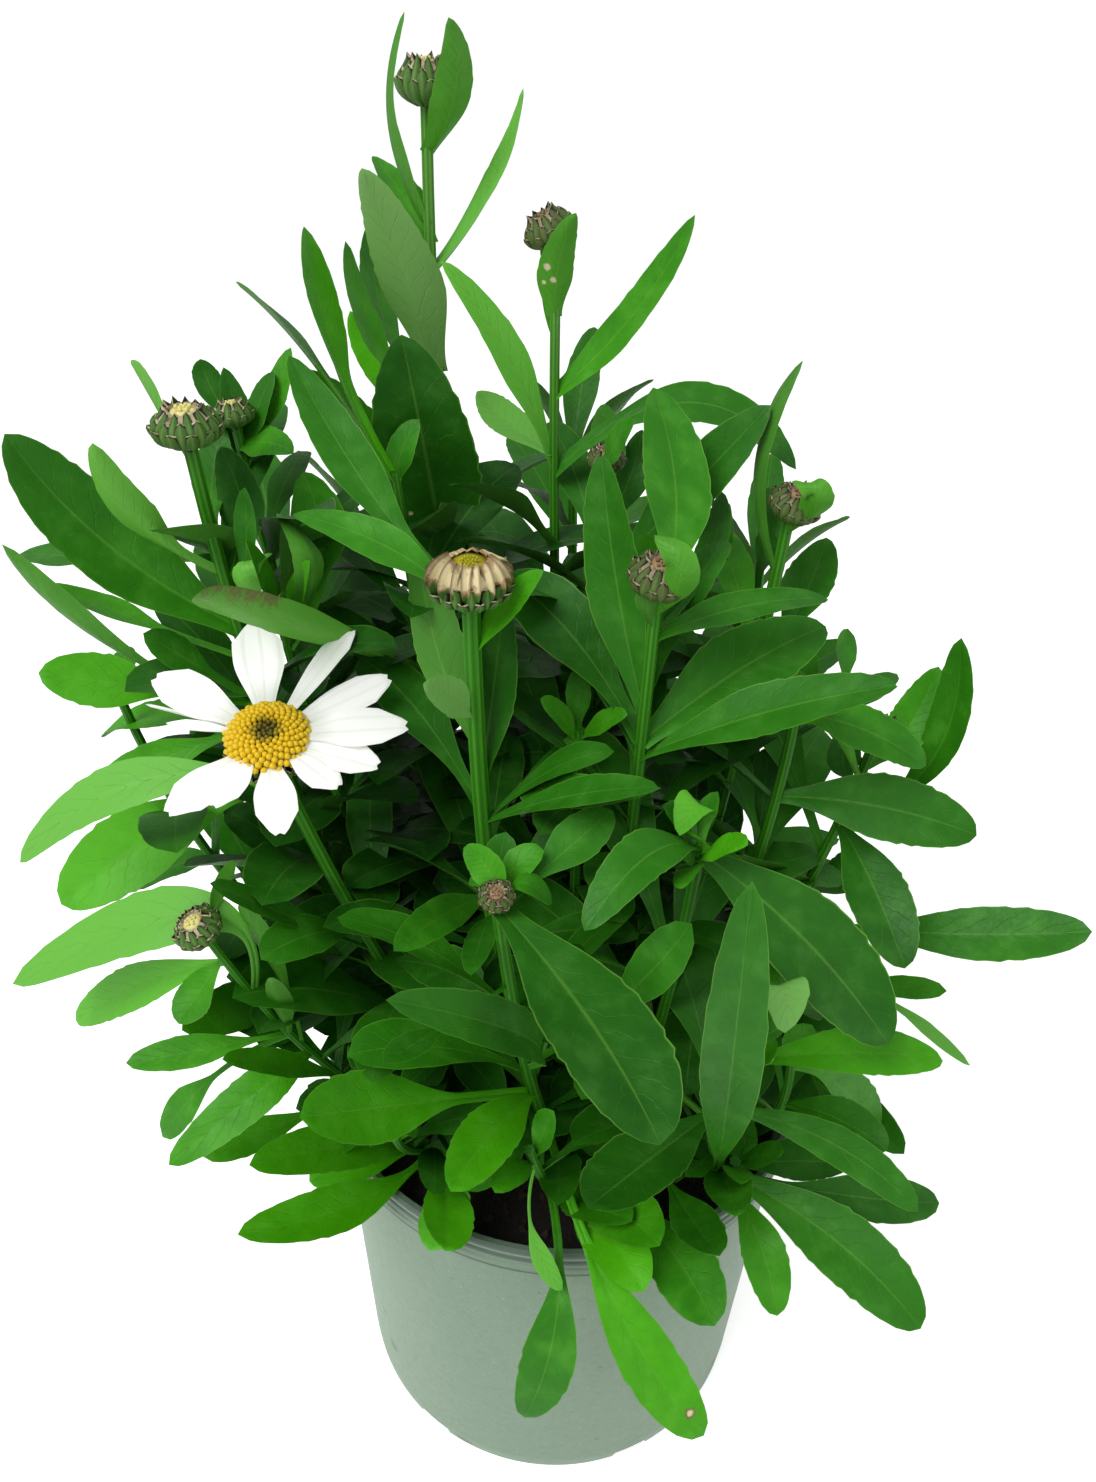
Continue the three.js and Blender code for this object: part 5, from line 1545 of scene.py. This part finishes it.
class DAISY_OT_pot(bpy.types.Operator):
    """Add the moulded pot with its rim band and drain notches"""
    bl_idname = "daisy.pot"
    bl_label = "Pot"

    def execute(self, context):
        pot = context.scene.daisy_pot
        rim, top = pot.rim_radius / MM, pot.height / MM
        band, wall_top, base, wall = top - 9, rim - 2.7, rim - 8.5, 2
        outline = [
            (0, 0), (base - 2.4, 0), (base - 1, 0.3), (base - 0.2, 1.4),
            (base + 0.3, 6), (wall_top, band - 0.6),
            (wall_top + 0.5, band - 0.1), (rim - 0.6, band), (rim - 0.2, band + 0.5), (rim - 0.1, band + 2.6),
            (rim - 0.65, band + 3.2), (rim - 0.15, band + 3.9), (rim - 0.2, band + 5.6),
            (rim - 0.7, band + 6.1), (rim, band + 6.8), (rim, top - 0.7), (rim - 0.5, top),
            (rim - wall + 0.1, top), (rim - wall - 0.4, top - 0.6), (wall_top - wall, band - 1),
            (base - wall, wall), (0, wall)]
        mesh = turned("pot_shell", [(r * MM, z * MM) for r, z in outline], pot.sides)
        shell = show("pot_shell", mesh, plastic_surface(pot))
        cut = shell.modifiers.new("Notches", "BOOLEAN")
        cut.object = notch_cutter(base)
        cut.operation = "DIFFERENCE"
        cut.solver = "EXACT"
        applied(shell)
        shell.data.set_sharp_from_angle(angle=math.radians(35))
        settle(shell, "pot", "pot")
        return {"FINISHED"}


class DAISY_OT_soil(bpy.types.Operator):
    """Add the lumpy soil and the crumbs on it"""
    bl_idname = "daisy.soil"
    bl_label = "Soil"

    def execute(self, context):
        pot = context.scene.daisy_pot
        top, low, edge = SOIL_HIGH.z / MM - 0.8, SOIL_LOW.z / MM, SOIL_HIGH.x / MM - 1
        steps = 26
        outline = [(0, low), (edge - 7, low), (edge, top - 2.5)]
        outline += [(edge * (1 - i / steps), top) for i in range(1, steps)]
        outline.append((0, top))

        def lumpy(radius, height, angle, row):
            if row < 2:
                return radius, height
            x, y = radius * math.cos(angle), radius * math.sin(angle)
            swell = math.sin(0.31 * x + 1.3) * math.cos(0.27 * y) + 0.6 * math.sin(0.83 * x - 0.7 * y)
            return radius, height + 0.7 * swell

        mesh = turned("soil_bed", outline, 72, lumpy)
        mesh.transform(Matrix.Scale(MM, 4))
        mesh.attributes.new("tint", "FLOAT", "POINT")
        soil = soil_surface(pot)
        bed = show("soil_bed", mesh, soil)
        settle(bed, "soil", "soil")
        upper = bed.data.copy()
        work = bmesh.new()
        work.from_mesh(upper)
        bmesh.ops.delete(work, geom=[f for f in work.faces if f.normal.z < 0.5], context="FACES")
        work.to_mesh(upper)
        work.free()
        crumbs = grow("soil_crumbs", upper, crumb_tree(), {
            "Form": crumb_form(), "Density": pot.crumb_density, "Size": 1.6 * MM, "Seed": 5, "Surface": soil})
        settle(crumbs, "soil")
        return {"FINISHED"}


class DAISY_OT_stalks(bpy.types.Operator):
    """Add the ribbed stems"""
    bl_idname = "daisy.stalks"
    bl_label = "Stems"

    def execute(self, context):
        tree = stalk_tree()
        green = stalk_surface(context.scene.daisy_leaf)
        for name in STEMS:
            stalk = grow(f"stalk_{name}", stalk_line(name), tree, {
                "Sides": 28, "Ribs": 7.0, "Rib Depth": 0.07, "Surface": green})
            settle(stalk, "leaf", f"stem_{name}")
        return {"FINISHED"}


class DAISY_OT_leaves(bpy.types.Operator):
    """Add the toothed leaves of every stem"""
    bl_idname = "daisy.leaves"
    bl_label = "Leaves"

    def execute(self, context):
        leaf = context.scene.daisy_leaf
        green = leaf_surface(leaf)
        broad = blade_form("form_broad", (-1, -0.6, -0.16, 0, 0.16, 0.6, 1), 40)
        slim = blade_form("form_slim", (-1, -0.5, 0, 0.5, 1), 26)
        inner = blade_form("form_inner", (-1, 0, 1), 18)
        eye = np.array(context.scene.daisy_stage.camera_place) / MM
        for index, name in enumerate(STEMS):
            draw = np.random.default_rng(leaf.fill_seed + index)
            rows = LEAVES.get(name, []) + CURLS.get(name, [])
            extra = INNER.get(name, []) + fill_rows(name, draw, eye)
            listed = np.arange(len(rows) + len(extra)) < len(rows)
            tint = [*LEAF_TINTS.get(name, ())]
            tint += [USUAL_TINT] * (len(rows) - len(tint))
            # Painted shade: inner leaves get darker tints the deeper they sit inside the shrub.
            tint += [0.14 + 0.5 * min(1.0, hull_share(row[1:4])) ** 2 for row in extra]
            rows = np.array(rows + extra, float)
            tint = np.array(tint) + 0.16 * (draw.random(len(rows)) - 0.5)
            cup = np.where(rows[:, 7] >= 15, 0.22, 0.12 + 0.16 * draw.random(len(rows)))
            roots = np.array([stem_point(name, row[0]) for row in rows])
            wide = rows[:, 7] >= BROAD
            for kind, form, pick in (
                ("broad", broad, listed & wide), ("slim", slim, listed & ~wide), ("inner", inner, ~listed),
            ):
                if not pick.any():
                    continue
                points = blade_points(
                    f"{kind}_{name}", roots[pick], rows[pick][:, 1:], draw, tint[pick], cup[pick],
                    leaf_peak(rows[pick][:, 0]))
                leaves = grow(f"leaves_{name}_{kind}", points, leaf_tree(), {
                    "Form": form, "Thickness": leaf.thickness, "Midrib": leaf.rib,
                    "Tooth Depth": leaf.tooth_depth * 2, "Wave": leaf.wave, "Waves": 8.0,
                    "Surface": green})
                settle(leaves, "leaf", f"stem_{name}")
        return {"FINISHED"}


class DAISY_OT_buds(bpy.types.Operator):
    """Add the scaled buds with their pale middles"""
    bl_idname = "daisy.buds"
    bl_label = "Buds"

    def execute(self, context):
        head = context.scene.daisy_head
        fresh = scale_surface("Bud scale", head, 0.15)
        browned = scale_surface("Browned scale", head, 0.65)
        straw = ramp_surface(
            "Straw middle", (0.0, head.straw), (0.6, head.straw), (0.8, head.brown_and_seam_shade),
            (1.0, head.scale_edge))
        dusky = ramp_surface(
            "Brown middle", (0.0, head.cream_edge), (0.6, head.brown_and_seam_shade), (1.0, head.scale_edge))
        well = 0.5
        for stem, radius, height, lean, brown in BUDS:
            place, axis = head_place(stem, lean)
            wide, tall = radius * MM, height * MM
            green, pale = (browned, dusky) if brown > 0.4 else (fresh, straw)
            core = egg(f"scales_{stem}", wide * 0.86, tall * 0.9, well)
            count = int(head.scales + radius - 6)
            scales = scale_cup(core, wide * 0.92, tall * 0.92, head.rows, count, well, green)
            seat(scales, place, axis, "bud_scale", f"bud_{stem}_cup")
            core = dome(f"middle_{stem}", [
                (0, tall * 0.7), (wide * 0.42, tall * 0.7), (wide * 0.34, tall * 0.8), (0, tall * 0.84)], 16)
            middle = floret_dome(core, 34, wide * 0.46, tall * 0.86, 0.0, wide * 0.19, pale)
            seat(middle, place, axis, "pale_bud", f"bud_{stem}_middle")
        return {"FINISHED"}


class DAISY_OT_cream_bud(bpy.types.Operator):
    """Add the opening bud with its ring of curled cream petals"""
    bl_idname = "daisy.cream_bud"
    bl_label = "Cream bud"

    def execute(self, context):
        head = context.scene.daisy_head
        stem, radius, height, lean, brown = CREAM_BUD
        place, axis = head_place(stem, lean)
        wide, tall = radius * MM, height * MM
        core = egg("scales_cream", wide * 0.5, tall * 0.5, 0.8)
        green = scale_surface("Cream bud scale", head, brown)
        scales = scale_cup(core, wide * 0.95, tall * 0.66, 2, 15, 0.97, green)
        seat(scales, place, axis, "bud_scale", "bud_cream_cup")
        draw = np.random.default_rng(21)
        count = 17
        out = directions(2 * math.pi * (np.arange(count) + 0.25 * draw.random(count)) / count)
        size = 1 + 0.06 * (draw.random(count) - 0.5)
        roots = out * (0.4 * radius) + UP * 0.08 * height
        bends = out * (1.3 * radius * size)[:, None] + UP * (0.7 * height)
        tips = out * (0.44 * radius * size)[:, None] + UP * (0.9 * height * size)[:, None]
        rows = np.column_stack((bends, tips, np.full(count, 3.7), np.full(count, 180.0), np.zeros(count)))
        points = blade_points(
            "ring_cream", roots, rows, draw, draw.random(count), np.full(count, 0.8), np.full(count, 0.5))
        curl = blade_form("form_curl", (-1, -0.5, 0, 0.5, 1), 16, pointed=False)
        ring = petal_ring(points, curl, 0.0, 6.0, curl_surface(head))
        seat(ring, place, axis, "pale_bud", "bud_cream_ring")
        yellow = ramp_surface(
            "Bud heart", (0.0, head.heart), (0.6, head.heart), (1.0, context.scene.daisy_flower.olive))
        core = dome("heart_cream", [
            (0, tall * 0.4), (wide * 0.5, tall * 0.4), (wide * 0.46, tall * 0.82), (0, tall * 0.87)], 20)
        heart = floret_dome(core, 110, wide * 0.46, tall * 0.91, 0.0, wide * 0.085, yellow)
        seat(heart, place, axis, "yellow_disc", "bud_cream_heart")
        return {"FINISHED"}


class DAISY_OT_flower(bpy.types.Operator):
    """Add the open flower: rays, disc and the scales below"""
    bl_idname = "daisy.flower"
    bl_label = "Open flower"

    def execute(self, context):
        flower = context.scene.daisy_flower
        foot, axis = head_place("bloom", FLOWER_AXIS)
        middle = foot + axis * CUP_DEPTH
        draw = np.random.default_rng(4)
        angle, reach, width, lift, turn = np.array(RAYS, float).T
        count = len(RAYS)
        odd = (np.arange(count) % 2).astype(float)
        out = directions(np.radians(angle))
        roots = out * (DISC_RADIUS - 3.4) + UP * 0.8
        bends = out * (reach * 0.6)[:, None] + UP * (1.2 + lift * 0.6 + 1.5 * odd)[:, None]
        tips = out * reach[:, None] + UP * (lift + 1.2 * odd)[:, None]
        rows = np.column_stack((bends, tips, width, turn, np.zeros(count)))
        across = (-1, -0.75, -0.5, -0.25, 0, 0.25, 0.5, 0.75, 1)
        form = blade_form("form_ray", across, 24, pointed=False, notch=0.04, rounding=0.26)
        points = blade_points(
            "rays", roots, rows, draw, draw.random(count), 0.3 * (draw.random(count) - 0.62),
            np.full(count, 0.5))
        petals = petal_ring(points, form, 0.12, 5.0, petal_surface(flower))
        seat(petals, middle, axis, "white_petal", "bloom_rays")
        gold = ramp_surface(
            "Disc floret", (0.0, flower.olive), (0.2, flower.olive), (0.45, flower.yellow),
            (1.0, flower.yellow))
        disc = DISC_RADIUS * MM
        core = dome("disc", [
            (0, 0.4 * MM), (disc * 0.78, 0.4 * MM), (disc * 0.92, 1.2 * MM), (disc * 0.84, 2.2 * MM),
            (disc * 0.6, 3 * MM), (0, 2.8 * MM)], 40)
        florets = floret_dome(core, flower.florets, disc * 0.97, 3.9 * MM, 0.9 * MM, 1.85 * MM, gold)
        seat(florets, middle, axis, "yellow_disc", "bloom_disc")
        green = scale_surface("Flower scale", context.scene.daisy_head, 0.3)
        cup = scale_cup(egg("flower_cup", 8 * MM, 6 * MM, 0.9), 8.2 * MM, 6.2 * MM, 3, 18, 0.98, green)
        cup.data.transform(Matrix.Translation((0, 0, -6.2 * MM)))
        seat(cup, middle, axis, "bud_scale", "bloom_cup")
        return {"FINISHED"}


OPERATORS = (
    DAISY_OT_stage, DAISY_OT_pot, DAISY_OT_soil, DAISY_OT_stalks, DAISY_OT_leaves, DAISY_OT_buds,
    DAISY_OT_cream_bud, DAISY_OT_flower,
)
SETTINGS = {
    "daisy_leaf": LeafSettings, "daisy_head": HeadSettings, "daisy_flower": FlowerSettings,
    "daisy_pot": PotSettings, "daisy_stage": StageSettings,
}


class DAISY_PT_panel(bpy.types.Panel):
    """Lists the pieces and their settings"""
    bl_label = "Daisy"
    bl_idname = "DAISY_PT_panel"
    bl_space_type = "VIEW_3D"
    bl_region_type = "UI"
    bl_category = "Daisy"

    def draw(self, context):
        for operator in OPERATORS:
            self.layout.operator(operator.bl_idname)
        for title, group in SETTINGS.items():
            box = self.layout.box()
            box.label(text=title.replace("daisy_", "").title())
            for field in group.__annotations__:
                box.prop(getattr(context.scene, title), field)


CLASSES = (*SETTINGS.values(), *OPERATORS, DAISY_PT_panel)


def register():
    for item in CLASSES:
        bpy.utils.register_class(item)
    for title, group in SETTINGS.items():
        setattr(bpy.types.Scene, title, PointerProperty(type=group))


def unregister():
    for title in SETTINGS:
        delattr(bpy.types.Scene, title)
    for item in reversed(CLASSES):
        bpy.utils.unregister_class(item)


def main():
    register()
    bpy.ops.daisy.stage()
    bpy.ops.daisy.pot()
    bpy.ops.daisy.soil()
    bpy.ops.daisy.stalks()
    bpy.ops.daisy.leaves()
    bpy.ops.daisy.buds()
    bpy.ops.daisy.cream_bud()
    bpy.ops.daisy.flower()
    clear_forms()


if __name__ == "__main__":
    main()
